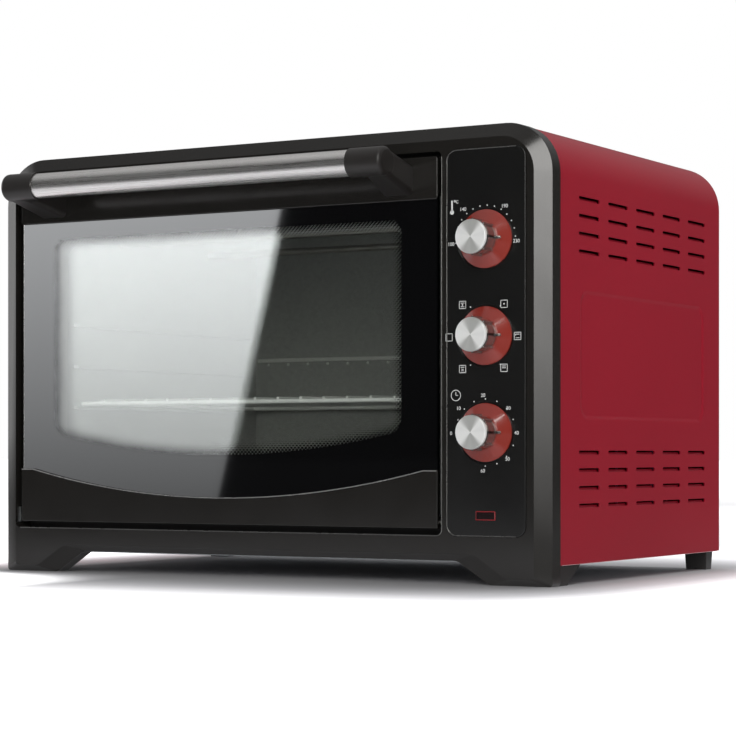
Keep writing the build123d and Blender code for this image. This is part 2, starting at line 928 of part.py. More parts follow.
def make_hinge_bracket(side):
    """One hinge bracket, on the front panel beside the door."""
    edge = door_middle + side * (door_half_width + door_side_gap)
    x0, x1 = sorted((edge, edge - side * hinge_bracket_thickness))
    low = sill_height + opening_radius
    plate = box(x0, x1, frame_depth - hinge_bracket_depth, frame_depth, low, low + hinge_bracket_height)
    return plate - rod_x(x0, x1, hinge_y, hinge_z, hinge_pin_radius + running_gap)


# Handle


def leg_base_middle():
    """Half the distance between the middles of the two handle legs at the door."""
    return handle_outer - leg_side_step - leg_base_width / 2


def leg_base_height_middle():
    """The height of the handle legs' middle at the door."""
    return handle_z - leg_base_drop


def make_handle_bar():
    """The handle's metal tube."""
    reach = handle_inner + handle_grip
    x0, x1 = door_middle - reach, door_middle + reach
    tube = rod_x(x0, x1, handle_y, handle_z, handle_radius)
    return tube - rod_x(x0, x1, handle_y, handle_z, handle_radius - handle_wall)


def make_handle_end(side):
    """One black handle end: a sleeve on the tube and a leg to the door."""
    sleeve = rod_x(handle_inner, handle_outer, handle_y, handle_z, sleeve_radius)
    top_middle = handle_outer - leg_top_width / 2
    top = Pos(top_middle, handle_z) * RectangleRounded(leg_top_width, 2 * sleeve_radius - 1, leg_rounding)
    base = Pos(leg_base_middle(), leg_base_height_middle()) * RectangleRounded(
        leg_base_width, leg_base_height, leg_rounding)
    leg = loft([front_plane(door_front) * base, front_plane(handle_y) * top], ruled=True)
    end = sleeve + leg
    rim = end.edges().filter_by(GeomType.CIRCLE).sort_by(Axis.X)[-1]
    end = fillet([rim], sleeve_rounding)
    socket = rod_x(handle_inner, handle_inner + handle_grip, handle_y, handle_z, handle_radius + running_gap)
    end -= socket
    end -= rod_y(leg_base_middle(), door_front - screw_grip, door_front, leg_base_height_middle(),
                 screw_radius + running_gap)
    if side < 0:
        end = mirror(end, Plane.YZ)
    return Pos(door_middle, 0, 0) * end


def make_handle_screws():
    """The two screws that hold the handle, from the back of the top rail."""
    screws = []
    for side in (-1, 1):
        x = door_middle + side * leg_base_middle()
        z = leg_base_height_middle()
        shank = rod_y(x, door_front - screw_grip, door_back, z, screw_radius)
        head = rod_y(x, door_back, door_back + handle_screw_head_height, z, screw_head_radius)
        screws.append(shank + head)
    return Compound(children=screws)


# Knobs


def make_knob_skirt(height):
    """The red dished skirt behind one knob."""
    bore = shaft_radius + running_gap
    profile = [
        (bore, skirt_back), (skirt_radius, skirt_back), (skirt_radius, skirt_front + skirt_edge),
        (skirt_radius - skirt_edge, skirt_front), (skirt_hub_radius, hub_front), (bore, hub_front),
    ]
    skirt = turned(profile, knob_x, height)
    return skirt


def make_knob_body(height):
    """The ribbed drum of one knob, with the pointer at its right."""
    drum = rod_y(knob_x, drum_front, hub_front, height, drum_radius)
    neck = rod_y(knob_x, neck_front, drum_front, height, neck_radius)
    body = drum + neck
    for index in range(rib_count):
        rib = box(0, rib_reach, neck_front + rib_lead, hub_front, -rib_width / 2, rib_width / 2)
        body += Pos(knob_x, 0, height) * Rot(0, index * 360 / rib_count, 0) * rib
    body += box(
        knob_x, knob_x + pointer_reach, hub_front - pointer_height, hub_front,
        height - pointer_width / 2, height + pointer_width / 2,
    )
    bore = rod_y(knob_x, hub_front - shaft_grip, hub_front, height, shaft_radius + running_gap)
    return body - bore


def make_knob_cap(height):
    """The spun metal face of one knob."""
    cap = rod_y(knob_x, cap_front, neck_front, height, cap_radius)
    return chamfer(cap.faces().sort_by(Axis.Y)[0].edges(), cap_chamfer)


def make_knob_shaft(height):
    """The shaft from one knob into its control."""
    return rod_y(knob_x, hub_front - shaft_grip, panel_back + shaft_depth - seat_gap, height, shaft_radius)


def save(name, shape):
    """Writes one piece, moved so that the origin lies under the middle of the oven."""
    placed = [Pos(0, -origin_y, 0) * solid for solid in shape.solids()]
    whole = placed[0] if len(placed) == 1 else Compound(children=placed)
    export_step(whole, os.path.join("parts", name + ".step"))


def main():
    os.makedirs("parts", exist_ok=True)
    save("front_frame", make_front_frame())
    save("control_fascia", make_control_fascia())
    save("indicator_lens", make_indicator_lens())
    save("indicator_lamp", make_indicator_lamp())
    save("outer_case", make_outer_case())
    save("base_plate", make_base_plate())
    save("front_panel", make_front_panel())
    save("rear_cover", make_rear_cover())
    save("cord_gland", make_cord_gland())
    save("front_feet", make_front_feet())
    save("rear_feet", make_rear_feet())
    save("rear_screws", make_rear_screws())
    save("foot_screws", make_foot_screws())
    save("cavity_supports", make_cavity_supports())
    save("wiring", make_wiring())
    save("cavity_left_wall", make_cavity_left_wall())
    save("cavity_right_wall", make_cavity_right_wall())
    save("cavity_floor", make_cavity_floor())
    save("cavity_ceiling", make_cavity_ceiling())
    save("cavity_back_wall", make_cavity_back_wall())
    save("heat_shield", make_heat_shield())
    for place, y in zip(("front", "rear"), element_y):
        save(f"lower_element_{place}", make_element(y, lower_element_height))
        save(f"upper_element_{place}", make_element(y, upper_element_height))
    save("element_insulators", make_element_insulators())
    save("oven_lamp_glass", make_oven_lamp_glass())
    save("oven_lamp_holder", make_oven_lamp_holder())
    save("wire_rack", make_wire_rack())
    save("thermostat_body", make_control(thermostat_size, knob_heights["temperature"]))
    save("selector_switch", make_control(selector_size, knob_heights["function"]))
    save("timer_body", make_control(timer_size, knob_heights["timer"]))
    save("timer_bell", make_timer_bell())
    save("control_screws", make_control_screws())
    save("terminal_block", make_terminal_block())
    save("door_bottom_rail", make_door_bottom_rail())
    save("door_top_rail", make_door_top_rail())
    save("door_glass", make_door_glass())
    save("door_inner_frame", make_door_inner_frame())
    save("door_inner_glass", make_door_inner_glass())
    save("hinge_pins", make_hinge_pins())
    save("hinge_bracket_left", make_hinge_bracket(-1))
    save("hinge_bracket_right", make_hinge_bracket(1))
    save("handle_bar", make_handle_bar())
    save("handle_end_left", make_handle_end(-1))
    save("handle_end_right", make_handle_end(1))
    save("handle_screws", make_handle_screws())
    for name, height in knob_heights.items():
        save(f"{name}_knob_skirt", make_knob_skirt(height))
        save(f"{name}_knob_body", make_knob_body(height))
        save(f"{name}_knob_cap", make_knob_cap(height))
        save(f"{name}_knob_shaft", make_knob_shaft(height))


main()
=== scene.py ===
"""Looks of an electric countertop oven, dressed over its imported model.

Everything is in metres in the model's own frame: X to the right, Y to the back, Z up.
"""

import json
import logging
import math
from dataclasses import dataclass, field
from enum import Enum
from typing import Any, Iterable, Sequence

import bmesh
import bpy
from bmesh.types import BMesh, BMVert
from bpy.types import Material, Mesh, Node, NodeSocket, NodeTree, Object
from mathutils import Matrix, Vector


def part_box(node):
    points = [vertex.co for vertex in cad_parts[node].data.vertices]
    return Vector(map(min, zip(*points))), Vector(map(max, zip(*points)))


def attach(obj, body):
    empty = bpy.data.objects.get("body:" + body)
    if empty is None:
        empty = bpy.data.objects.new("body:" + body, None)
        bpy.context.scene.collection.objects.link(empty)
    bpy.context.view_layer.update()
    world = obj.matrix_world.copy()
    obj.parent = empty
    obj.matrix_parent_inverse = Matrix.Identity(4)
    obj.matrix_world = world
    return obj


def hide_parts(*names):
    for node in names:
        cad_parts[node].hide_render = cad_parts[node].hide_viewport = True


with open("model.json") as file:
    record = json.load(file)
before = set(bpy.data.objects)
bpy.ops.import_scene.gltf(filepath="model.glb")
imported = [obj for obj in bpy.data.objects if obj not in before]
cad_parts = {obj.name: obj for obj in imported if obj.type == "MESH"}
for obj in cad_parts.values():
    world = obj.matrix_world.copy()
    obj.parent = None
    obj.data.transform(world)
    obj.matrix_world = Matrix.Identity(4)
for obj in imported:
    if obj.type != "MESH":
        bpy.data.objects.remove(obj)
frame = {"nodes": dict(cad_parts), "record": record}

LOG = logging.getLogger("oven")
MM = 0.001
METRE = 1000.0  # in millimetres
Point = tuple[float, float]

# Sockets that share their name with others of the node go by number. Sockets 1 and 2 of a
# Map Range node are the range that comes in, and 3 and 4 the range that goes out.
MIX_A, MIX_B = 6, 7

# Loose triangles are joined within this distance and are one flat face up to this angle
JOIN_WITHIN = 0.002 * MM
FLAT_DEG = 0.5
# Corners this close to the top of a screw's head are its rim
RIM_WITHIN = 0.01 * MM
# An edge that bends by more than this is drawn and rounded as an edge
CREASE_DEG = 18.0
# The edge radius that gives smooth shading and no rounding
SMOOTH_ONLY = 0.0
# How far the painted highlight fans of each dial's cap are turned, in radians
FAN_TURNS = {"temperature": 0.8, "function": 0.95, "timer": 0.7}


# Nodes and colours


def linear(hex_colour: str) -> tuple[float, float, float, float]:
    """Turns an sRGB hex colour into linear light.

    Args:
        hex_colour: The colour as "#rrggbb".

    Returns:
        The linear red, green, blue and an alpha of 1.
    """
    parts = [int(hex_colour[i : i + 2], 16) / 255 for i in (1, 3, 5)]
    lights = [c / 12.92 if c <= 0.04045 else ((c + 0.055) / 1.055) ** 2.4 for c in parts]
    return (lights[0], lights[1], lights[2], 1.0)


def add_node(
    tree: NodeTree, kind: str, inputs: dict[Any, Any] | None = None, **settings: Any
) -> Node:
    """Adds a node to a tree with its settings, values and links.

    Args:
        tree: The tree that gets the node.
        kind: The node's type name.
        inputs: Socket name or number to a value, a socket or a node.
        settings: The node's own properties.

    Returns:
        The new node.
    """
    made = tree.nodes.new(kind)
    for key, value in settings.items():
        setattr(made, key, value)
    for key, value in (inputs or {}).items():
        source = value.outputs[0] if isinstance(value, Node) else value
        if isinstance(source, NodeSocket):
            tree.links.new(source, made.inputs[key])
        else:
            made.inputs[key].default_value = source
    return made


def new_surface(name: str, inputs: dict[str, Any]) -> tuple[Material, NodeTree, Node]:
    """Starts a material with one shader.

    Args:
        name: The material's name.
        inputs: The shader's plain values.

    Returns:
        The material, its tree and its shader node.
    """
    material = bpy.data.materials.new(name)
    material.use_nodes = True
    tree = material.node_tree
    shader = tree.nodes["Principled BSDF"]
    for key, value in inputs.items():
        shader.inputs[key].default_value = value
    return material, tree, shader


def finished(
    material: Material, tone: Node, gloss: Node | None = None, relief: Node | None = None
) -> Material:
    """Ends a material by linking its patterns to its shader.

    Args:
        material: The material.
        tone: The mix of its colours.
        gloss: Its roughness, where that has a pattern.
        relief: Its bumps, if any.

    Returns:
        The same material.
    """
    tree = material.node_tree
    shader = tree.nodes["Principled BSDF"]
    tree.links.new(tone.outputs[2], shader.inputs["Base Color"])
    for name, source in (("Roughness", gloss), ("Normal", relief)):
        if source:
            tree.links.new(source.outputs[0], shader.inputs[name])
    return material


def object_place(tree: NodeTree) -> NodeSocket:
    """Gives the surface point in the piece's own frame, in metres."""
    return add_node(tree, "ShaderNodeTexCoord").outputs["Object"]


# Finishes


@dataclass(frozen=True)
class MouldedPlastic:
    """Injection moulded ABS: an etched mould leaves an even fine grain and a soft gloss.

    The real grain is about 0.3 mm wide. It is drawn coarser than that, so that it shows.
    """

    name: str
    colour: str
    worn_colour: str
    roughness: float
    grain_mm: float = 1.1
    grain_depth_mm: float = 0.02
    coat: float = 0.0
    cloud_mm: float = METRE / 14
    smoother_by: float = 0.04
    rougher_by: float = 0.05

    def material(self) -> Material:
        """Builds the plastic: cloudy tone, uneven gloss and mould grain.

        Returns:
            The material.
        """
        material, tree, _ = new_surface(
            self.name, {"IOR": 1.53, "Coat Weight": self.coat, "Coat Roughness": 0.06}
        )
        place = object_place(tree)
        cloud = add_node(
            tree,
            "ShaderNodeTexNoise",
            {"Vector": place, "Scale": METRE / self.cloud_mm, "Detail": 4.0},
        )
        tone = add_node(
            tree,
            "ShaderNodeMix",
            {0: cloud, MIX_A: linear(self.colour), MIX_B: linear(self.worn_colour)},
            data_type="RGBA",
        )
        smooth, rough = self.roughness - self.smoother_by, self.roughness + self.rougher_by
        gloss = add_node(
            tree, "ShaderNodeMapRange", {"Value": cloud, 1: 0.3, 2: 0.7, 3: smooth, 4: rough}
        )
        grain = add_node(
            tree,
            "ShaderNodeTexNoise",
            {"Vector": place, "Scale": METRE / self.grain_mm, "Detail": 1.0},
        )
        relief = add_node(
            tree,
            "ShaderNodeBump",
            {"Strength": 0.5, "Distance": self.grain_depth_mm * MM, "Height": grain},
        )
        return finished(material, tone, gloss, relief)


@dataclass(frozen=True)
class BakedEnamel:
    """Powder coat baked on sheet steel: deep gloss over a faint orange peel."""

    name: str
    colour: str
    deep_colour: str
    roughness: float = 0.3
    peel_mm: float = 4.0
    peel_depth_mm: float = 0.012
    drift_mm: float = METRE / 6

    def material(self) -> Material:
        """Builds the coat: slow colour drift, orange peel and a clear gloss layer.

        Returns:
            The material.
        """
        material, tree, shader = new_surface(
            self.name,
            {"Roughness": self.roughness, "Specular IOR Level": 0.25, "Coat Weight": 0.05},
        )
        place = object_place(tree)
        drift = add_node(
            tree,
            "ShaderNodeTexNoise",
            {"Vector": place, "Scale": METRE / self.drift_mm, "Detail": 2.0},
        )
        tone = add_node(
            tree,
            "ShaderNodeMix",
            {0: drift, MIX_A: linear(self.colour), MIX_B: linear(self.deep_colour)},
            data_type="RGBA",
        )
        peel = add_node(
            tree,
            "ShaderNodeTexNoise",
            {"Vector": place, "Scale": METRE / self.peel_mm, "Detail": 1.0},
        )
        relief = add_node(
            tree,
            "ShaderNodeBump",
            {"Strength": 0.6, "Distance": self.peel_depth_mm * MM, "Height": peel},
        )
        tree.links.new(relief.outputs[0], shader.inputs["Coat Normal"])
        return finished(material, tone, relief=relief)


@dataclass(frozen=True)
class CoatedSteelSheet:
    """Zinc or aluminium dipped sheet: its frozen crystals show as pale and dark flakes."""

    name: str
    colour: str
    flake_colour: str
    roughness: float = 0.34
    flake_mm: float = 7.0
    metallic: float = 1.0
    smoother_by: float = 0.06
    rougher_by: float = 0.08
    # Rolling lines to the metre along each axis: about 33 mm long and 1.1 mm wide
    line_scale: tuple[float, float, float] = (30.0, 900.0, 900.0)
    line_depth_mm: float = 0.01

    def material(self) -> Material:
        """Builds the sheet: flakes in tone and gloss, with faint rolling lines.

        Returns:
            The material.
        """
        material, tree, _ = new_surface(self.name, {"Metallic": self.metallic})
        place = object_place(tree)
        flakes = add_node(
            tree, "ShaderNodeTexVoronoi", {"Vector": place, "Scale": METRE / self.flake_mm}
        )
        pick = add_node(tree, "ShaderNodeSeparateColor", {"Color": flakes.outputs["Color"]})
        tone = add_node(
            tree,
            "ShaderNodeMix",
            {0: pick, MIX_A: linear(self.colour), MIX_B: linear(self.flake_colour)},
            data_type="RGBA",
        )
        smooth, rough = self.roughness - self.smoother_by, self.roughness + self.rougher_by
        gloss = add_node(
            tree, "ShaderNodeMapRange", {"Value": pick.outputs[1], 3: smooth, 4: rough}
        )
        stretch = add_node(tree, "ShaderNodeMapping", {"Vector": place, "Scale": self.line_scale})
        lines = add_node(tree, "ShaderNodeTexNoise", {"Vector": stretch, "Scale": 1.0})
        relief = add_node(
            tree,
            "ShaderNodeBump",
            {"Strength": 0.25, "Distance": self.line_depth_mm * MM, "Height": lines},
        )
        return finished(material, tone, gloss, relief)


@dataclass(frozen=True)
class BrushedSteel:
    """Stainless steel rubbed with a belt: fine scratches run along one axis."""

    name: str
    colour: str
    scratch_colour: str
    roughness: float
    # Scratches to the metre along each axis: about 83 mm long and 0.7 mm wide, which is
    # coarser than the belt's real grit leaves them, so that they show
    scratch_scale: tuple[float, float, float] = (12.0, 1400.0, 1400.0)
    scratch_depth_mm: float = 0.01
    relief: float = 0.3
    smoother_by: float = 0.04
    rougher_by: float = 0.07

    def material(self) -> Material:
        """Builds the steel: long scratches in tone, gloss and relief.

        Returns:
            The material.
        """
        material, tree, _ = new_surface(self.name, {"Metallic": 1.0})
        place = object_place(tree)
        stretch = add_node(
            tree, "ShaderNodeMapping", {"Vector": place, "Scale": self.scratch_scale}
        )
        scratch = add_node(
            tree, "ShaderNodeTexNoise", {"Vector": stretch, "Scale": 1.0, "Detail": 3.0}
        )
        spread = add_node(tree, "ShaderNodeMapRange", {"Value": scratch, 1: 0.35, 2: 0.65})
        tone = add_node(
            tree,
            "ShaderNodeMix",
            {0: spread, MIX_A: linear(self.colour), MIX_B: linear(self.scratch_colour)},
            data_type="RGBA",
        )
        smooth, rough = self.roughness - self.smoother_by, self.roughness + self.rougher_by
        gloss = add_node(
            tree, "ShaderNodeMapRange", {"Value": spread, 3: smooth, 4: rough}
        )
        relief = add_node(
            tree,
            "ShaderNodeBump",
            {"Strength": self.relief, "Distance": self.scratch_depth_mm * MM, "Height": scratch},
        )
        return finished(material, tone, gloss, relief)


@dataclass(frozen=True)
class BrightPlate:
    """Bright plate, which also makes the beads of painted highlight along edges: it mirrors softly,
    under a slightly clouded film from handling.
    """

    name: str
    colour: str
    film_colour: str
    roughness: float
    metallic: float = 1.0
    film_mm: float = METRE / 90
    film_roughness: float = 0.08

    def material(self) -> Material:
        """Builds the plate: a mirror whose gloss drifts with the film.

        Returns:
            The material.
        """
        material, tree, _ = new_surface(self.name, {"Metallic": self.metallic})
        place = object_place(tree)
        film = add_node(
            tree,
            "ShaderNodeTexNoise",
            {"Vector": place, "Scale": METRE / self.film_mm, "Detail": 4.0},
        )
        tone = add_node(
            tree,
            "ShaderNodeMix",
            {0: film, MIX_A: linear(self.colour), MIX_B: linear(self.film_colour)},
            data_type="RGBA",
        )
        clouded = self.roughness + self.film_roughness
        gloss = add_node(
            tree,
            "ShaderNodeMapRange",
            {"Value": film, 1: 0.3, 2: 0.7, 3: self.roughness, 4: clouded},
        )
        return finished(material, tone, gloss)


@dataclass(frozen=True)
class PointerDrum:
    """Satin chrome drum of a dial, with the black line of its pointer inlaid."""

    name: str
    centre: tuple[float, float, float]
    colour: str = "#b4aeaa"
    film_colour: str = "#a09995"
    line_colour: str = "#0d0d0d"
    line_mm: float = 2.0
    line_start_mm: float = 10.5
    line_end_mm: float = 15.5
    film_mm: float = METRE / 90
    metallic: float = 0.85

    def material(self) -> Material:
        """Builds the plate with its film, and the black line that points to the right.

        Returns:
            The material.
        """
        material, tree, shader = new_surface(self.name, {"Roughness": 0.2})
        place = object_place(tree)
        film = add_node(
            tree,
            "ShaderNodeTexNoise",
            {"Vector": place, "Scale": METRE / self.film_mm, "Detail": 4.0},
        )
        plate = add_node(
            tree,
            "ShaderNodeMix",
            {0: film, MIX_A: linear(self.colour), MIX_B: linear(self.film_colour)},
            data_type="RGBA",
        )
        x, y, z = self.centre
        middle = add_node(tree, "ShaderNodeMapping", {"Vector": place, "Location": (-x, -y, -z)})
        axes = add_node(tree, "ShaderNodeSeparateXYZ", {0: middle})
        line_middle = (self.line_start_mm + self.line_end_mm) / 2 * MM
        line_half = (self.line_end_mm - self.line_start_mm) / 2 * MM
        along = add_node(
            tree,
            "ShaderNodeMath",
            {0: axes.outputs[0], 1: line_middle, 2: line_half},
            operation="COMPARE",
        )
        across = add_node(
            tree,
            "ShaderNodeMath",
            {0: axes.outputs[2], 1: 0.0, 2: self.line_mm / 2 * MM},
            operation="COMPARE",
        )
        inlay = add_node(tree, "ShaderNodeMath", {0: along, 1: across}, operation="MULTIPLY")
        tone = add_node(
            tree,
            "ShaderNodeMix",
            {0: inlay, MIX_A: plate.outputs[2], MIX_B: linear(self.line_colour)},
            data_type="RGBA",
        )
        metal = add_node(tree, "ShaderNodeMapRange", {"Value": inlay, 3: self.metallic, 4: 0.0})
        tree.links.new(metal.outputs[0], shader.inputs["Metallic"])
        return finished(material, tone)


@dataclass(frozen=True)
class SpunAluminium:
    """Aluminium turned on a lathe: rings round the middle throw light into fans.

    A lathe's rings spread light so widely that half of it is built as a plain bright surface. The
    fans and their fine streaks are a painted highlight: bright and dark sectors painted into the
    colour.
    """

    name: str
    centre: tuple[float, float, float]
    fan_turn: float
    painted_highlight_colour: str = "#f4f5f3"
    painted_shade_colour: str = "#b4b5b2"
    fan_pairs: float = 2.0
    small_fans: float = 5.0
    small_fan_share: float = 0.09
    streaks_per_radian: float = 40.0
    streak_share: float = 0.25
    dark_share: float = 0.12
    ring_mm: float = 0.5
    ring_depth_mm: float = 0.004

    def material(self) -> Material:
        """Builds the turned face: two pairs of painted highlight fans, fine painted streaks and
        rings.

        Returns:
            The material.
        """
        material, tree, _ = new_surface(self.name, {"Metallic": 0.4, "Roughness": 0.38})
        x, y, z = self.centre
        middle = add_node(
            tree, "ShaderNodeMapping", {"Vector": object_place(tree), "Location": (-x, -y, -z)}
        )
        axes = add_node(tree, "ShaderNodeSeparateXYZ", {0: middle})
        # Painted highlight: bright and dark fans round the middle, with fine streaks, painted into
        # the colour
        angle = add_node(
            tree, "ShaderNodeMath", {0: axes.outputs[2], 1: axes.outputs[0]}, operation="ARCTAN2"
        )
        shifted = add_node(tree, "ShaderNodeMath", {0: angle, 1: self.fan_turn}, operation="ADD")
        twice = add_node(
            tree, "ShaderNodeMath", {0: shifted, 1: self.fan_pairs}, operation="MULTIPLY"
        )
        pair = add_node(tree, "ShaderNodeMath", {0: twice}, operation="SINE")
        sharp = add_node(
            tree,
            "ShaderNodeMapRange",
            {"Value": pair, 1: -0.75, 2: 0.35},
            interpolation_type="SMOOTHSTEP",
        )
        often = add_node(
            tree, "ShaderNodeMath", {0: shifted, 1: self.small_fans}, operation="MULTIPLY"
        )
        small = add_node(tree, "ShaderNodeMath", {0: often}, operation="SINE")
        fans = add_node(
            tree,
            "ShaderNodeMath",
            {0: small, 1: self.small_fan_share, 2: sharp},
            operation="MULTIPLY_ADD",
        )
        around = add_node(tree, "ShaderNodeCombineXYZ", {0: angle, 1: 0.0, 2: 0.0})
        streak = add_node(
            tree,
            "ShaderNodeTexNoise",
            {"Vector": around, "Scale": self.streaks_per_radian, "Detail": 3.0},
        )
        mixed = add_node(
            tree,
            "ShaderNodeMath",
            {0: streak, 1: self.streak_share, 2: fans},
            operation="MULTIPLY_ADD",
        )
        share = add_node(
            tree,
            "ShaderNodeMath",
            {0: mixed, 1: self.dark_share},
            operation="SUBTRACT",
            use_clamp=True,
        )
        tone = add_node(
            tree,
            "ShaderNodeMix",
            {0: share, MIX_A: linear(self.painted_shade_colour), MIX_B: linear(self.painted_highlight_colour)},
            data_type="RGBA",
        )
        radius = add_node(tree, "ShaderNodeVectorMath", {0: middle}, operation="LENGTH")
        rings = add_node(
            tree,
            "ShaderNodeMath",
            {0: radius.outputs["Value"], 1: 2 * math.pi * METRE / self.ring_mm},
            operation="MULTIPLY",
        )
        wave = add_node(tree, "ShaderNodeMath", {0: rings}, operation="SINE")
        relief = add_node(
            tree,
            "ShaderNodeBump",
            {"Strength": 0.25, "Distance": self.ring_depth_mm * MM, "Height": wave},
        )
        return finished(material, tone, relief=relief)


@dataclass(frozen=True)
class ClearGlass:
    """Float or pressed glass: nearly invisible head on, bright where it mirrors a lamp."""

    name: str
    tint: str
    roughness: float = 0.01
    smear_mm: float = 40.0
    smear_roughness: float = 0.02
    # How much is mirrored head on, how much more at a grazing angle, and how late it comes
    head_on: float = 0.045
    grazing: float = 0.95
    late: float = 5.0

    def surface(self, tree: NodeTree) -> Node:
        """Adds the glass to a tree.

        Args:
            tree: The material's tree.

        Returns:
            The mix of what passes and what is mirrored.
        """
        place = object_place(tree)
        smear = add_node(
            tree,
            "ShaderNodeTexNoise",
            {"Vector": place, "Scale": METRE / self.smear_mm, "Detail": 3.0},
        )
        haze = add_node(
            tree,
            "ShaderNodeMapRange",
            {"Value": smear, 3: self.roughness, 4: self.roughness + self.smear_roughness},
        )
        passed = add_node(tree, "ShaderNodeBsdfTransparent", {"Color": linear(self.tint)})
        mirror = add_node(tree, "ShaderNodeBsdfGlossy", {"Roughness": haze.outputs[0]})
        facing = add_node(tree, "ShaderNodeLayerWeight", {"Blend": 0.5}).outputs["Facing"]
        edge = add_node(tree, "ShaderNodeMath", {0: facing, 1: self.late}, operation="POWER")
        share = add_node(
            tree,
            "ShaderNodeMath",
            {0: edge, 1: self.grazing, 2: self.head_on},
            operation="MULTIPLY_ADD",
        )
        return add_node(tree, "ShaderNodeMixShader", {0: share, 1: passed, 2: mirror})

    def material(self) -> Material:
        """Builds the glass as a material of its own.

        Returns:
            The material.
        """
        material, tree, shader = new_surface(self.name, {})
        tree.nodes.remove(shader)
        end = tree.nodes["Material Output"]
        tree.links.new(self.surface(tree).outputs[0], end.inputs["Surface"])
        return material


@dataclass(frozen=True)
class PrintedGlass:
    """Toughened glass with black ceramic print, whose edge opens into the window by holes.

    The real holes are about a millimetre apart. They are drawn further apart than that, so
    that they show.
    """

    name: str
    ink: str
    tint: str
    centre_mm: float
    half_width_mm: float
    top_mm: float
    low_mm: float
    arc_radius_mm: float
    corner_mm: float
    fade_mm: float
    dot_pitch_mm: float
    # How far a hole reaches from its middle, in pitches, at the print's and the window's end
    print_hole: float = 0.4
    window_hole: float = 0.72
    screen_turn_deg: float = 45.0

    def edge_distance(self, tree: NodeTree) -> Node:
        """Adds the distance to the window's outline.

        Args:
            tree: The material's tree.

        Returns:
            A node that is below zero inside the window, in millimetres.
        """
        scale = add_node(
            tree,
            "ShaderNodeVectorMath",
            {0: object_place(tree), "Scale": METRE},
            operation="SCALE",
        )
        axes = add_node(tree, "ShaderNodeSeparateXYZ", {0: scale})
        from_middle = add_node(
            tree, "ShaderNodeMath", {0: axes.outputs[0], 1: self.centre_mm}, operation="SUBTRACT"
        )
        across = add_node(tree, "ShaderNodeMath", {0: from_middle}, operation="ABSOLUTE")
        side = add_node(
            tree,
            "ShaderNodeMath",
            {0: across, 1: self.half_width_mm - self.corner_mm},
            operation="SUBTRACT",
        )
        over = add_node(
            tree,
            "ShaderNodeMath",
            {0: axes.outputs[2], 1: self.top_mm - self.corner_mm},
            operation="SUBTRACT",
        )
        drop = add_node(
            tree,
            "ShaderNodeMath",
            {0: axes.outputs[2], 1: self.low_mm + self.arc_radius_mm},
            operation="SUBTRACT",
        )
        spoke = add_node(tree, "ShaderNodeCombineXYZ", {0: from_middle, 1: 0.0, 2: drop})
        reach = add_node(tree, "ShaderNodeVectorMath", {0: spoke}, operation="LENGTH")
        under = add_node(
            tree,
            "ShaderNodeMath",
            {0: reach.outputs["Value"], 1: self.arc_radius_mm - self.corner_mm},
            operation="SUBTRACT",
        )
        upright = add_node(tree, "ShaderNodeMath", {0: over, 1: under}, operation="MAXIMUM")
        side_out = add_node(tree, "ShaderNodeMath", {0: side, 1: 0.0}, operation="MAXIMUM")
        up_out = add_node(tree, "ShaderNodeMath", {0: upright, 1: 0.0}, operation="MAXIMUM")
        out = add_node(tree, "ShaderNodeCombineXYZ", {0: side_out, 1: up_out, 2: 0.0})
        corner = add_node(tree, "ShaderNodeVectorMath", {0: out}, operation="LENGTH")
        inner = add_node(tree, "ShaderNodeMath", {0: side, 1: upright}, operation="MAXIMUM")
        inside = add_node(tree, "ShaderNodeMath", {0: inner, 1: 0.0}, operation="MINIMUM")
        whole = add_node(
            tree, "ShaderNodeMath", {0: corner.outputs["Value"], 1: inside}, operation="ADD"
        )
        return add_node(tree, "ShaderNodeMath", {0: whole, 1: self.corner_mm}, operation="SUBTRACT")

    def dots(self, tree: NodeTree) -> Node:
        """Adds the dot screen.

        Args:
            tree: The material's tree.

        Returns:
            A node with the distance to the nearest hole's middle, in pitches.
        """
        turned = add_node(
            tree,
            "ShaderNodeVectorRotate",
            {"Vector": object_place(tree), "Angle": math.radians(self.screen_turn_deg)},
            rotation_type="Y_AXIS",
        )
        grid = add_node(
            tree,
            "ShaderNodeVectorMath",
            {0: turned, "Scale": METRE / self.dot_pitch_mm},
            operation="SCALE",
        )
        cell = add_node(tree, "ShaderNodeVectorMath", {0: grid}, operation="FRACTION")
        off = add_node(
            tree, "ShaderNodeVectorMath", {0: cell, 1: (0.5, 0.0, 0.5)}, operation="SUBTRACT"
        )
        flat = add_node(tree, "ShaderNodeVectorMath", {0: off, 1: (1, 0, 1)}, operation="MULTIPLY")
        return add_node(tree, "ShaderNodeVectorMath", {0: flat}, operation="LENGTH")

    def material(self) -> Material:
        """Builds the door's outer glass: print, dot screen and clear window.

        Returns:
            The material.
        """
        material, tree, shader = new_surface(
            self.name, {"Roughness": 0.03, "IOR": 1.5, "Base Color": linear(self.ink)}
        )
        edge = self.edge_distance(tree)
        hole = add_node(
            tree,
            "ShaderNodeMapRange",
            {"Value": edge, 1: 0.0, 2: -self.fade_mm, 3: self.print_hole, 4: self.window_hole},
        )
        dot = add_node(
            tree,
            "ShaderNodeMath",
            {0: self.dots(tree).outputs["Value"], 1: hole.outputs[0]},
            operation="GREATER_THAN",
        )
        outside = add_node(tree, "ShaderNodeMath", {0: edge, 1: 0.0}, operation="GREATER_THAN")
        fading = add_node(
            tree, "ShaderNodeMath", {0: edge, 1: -self.fade_mm}, operation="GREATER_THAN"
        )
        screen = add_node(tree, "ShaderNodeMath", {0: dot, 1: fading}, operation="MULTIPLY")
        ink = add_node(tree, "ShaderNodeMath", {0: screen, 1: outside}, operation="MAXIMUM")
        clear = ClearGlass(self.name, self.tint).surface(tree)
        whole = add_node(tree, "ShaderNodeMixShader", {0: ink, 1: clear, 2: shader})
        tree.links.new(whole.outputs[0], tree.nodes["Material Output"].inputs["Surface"])
        return material


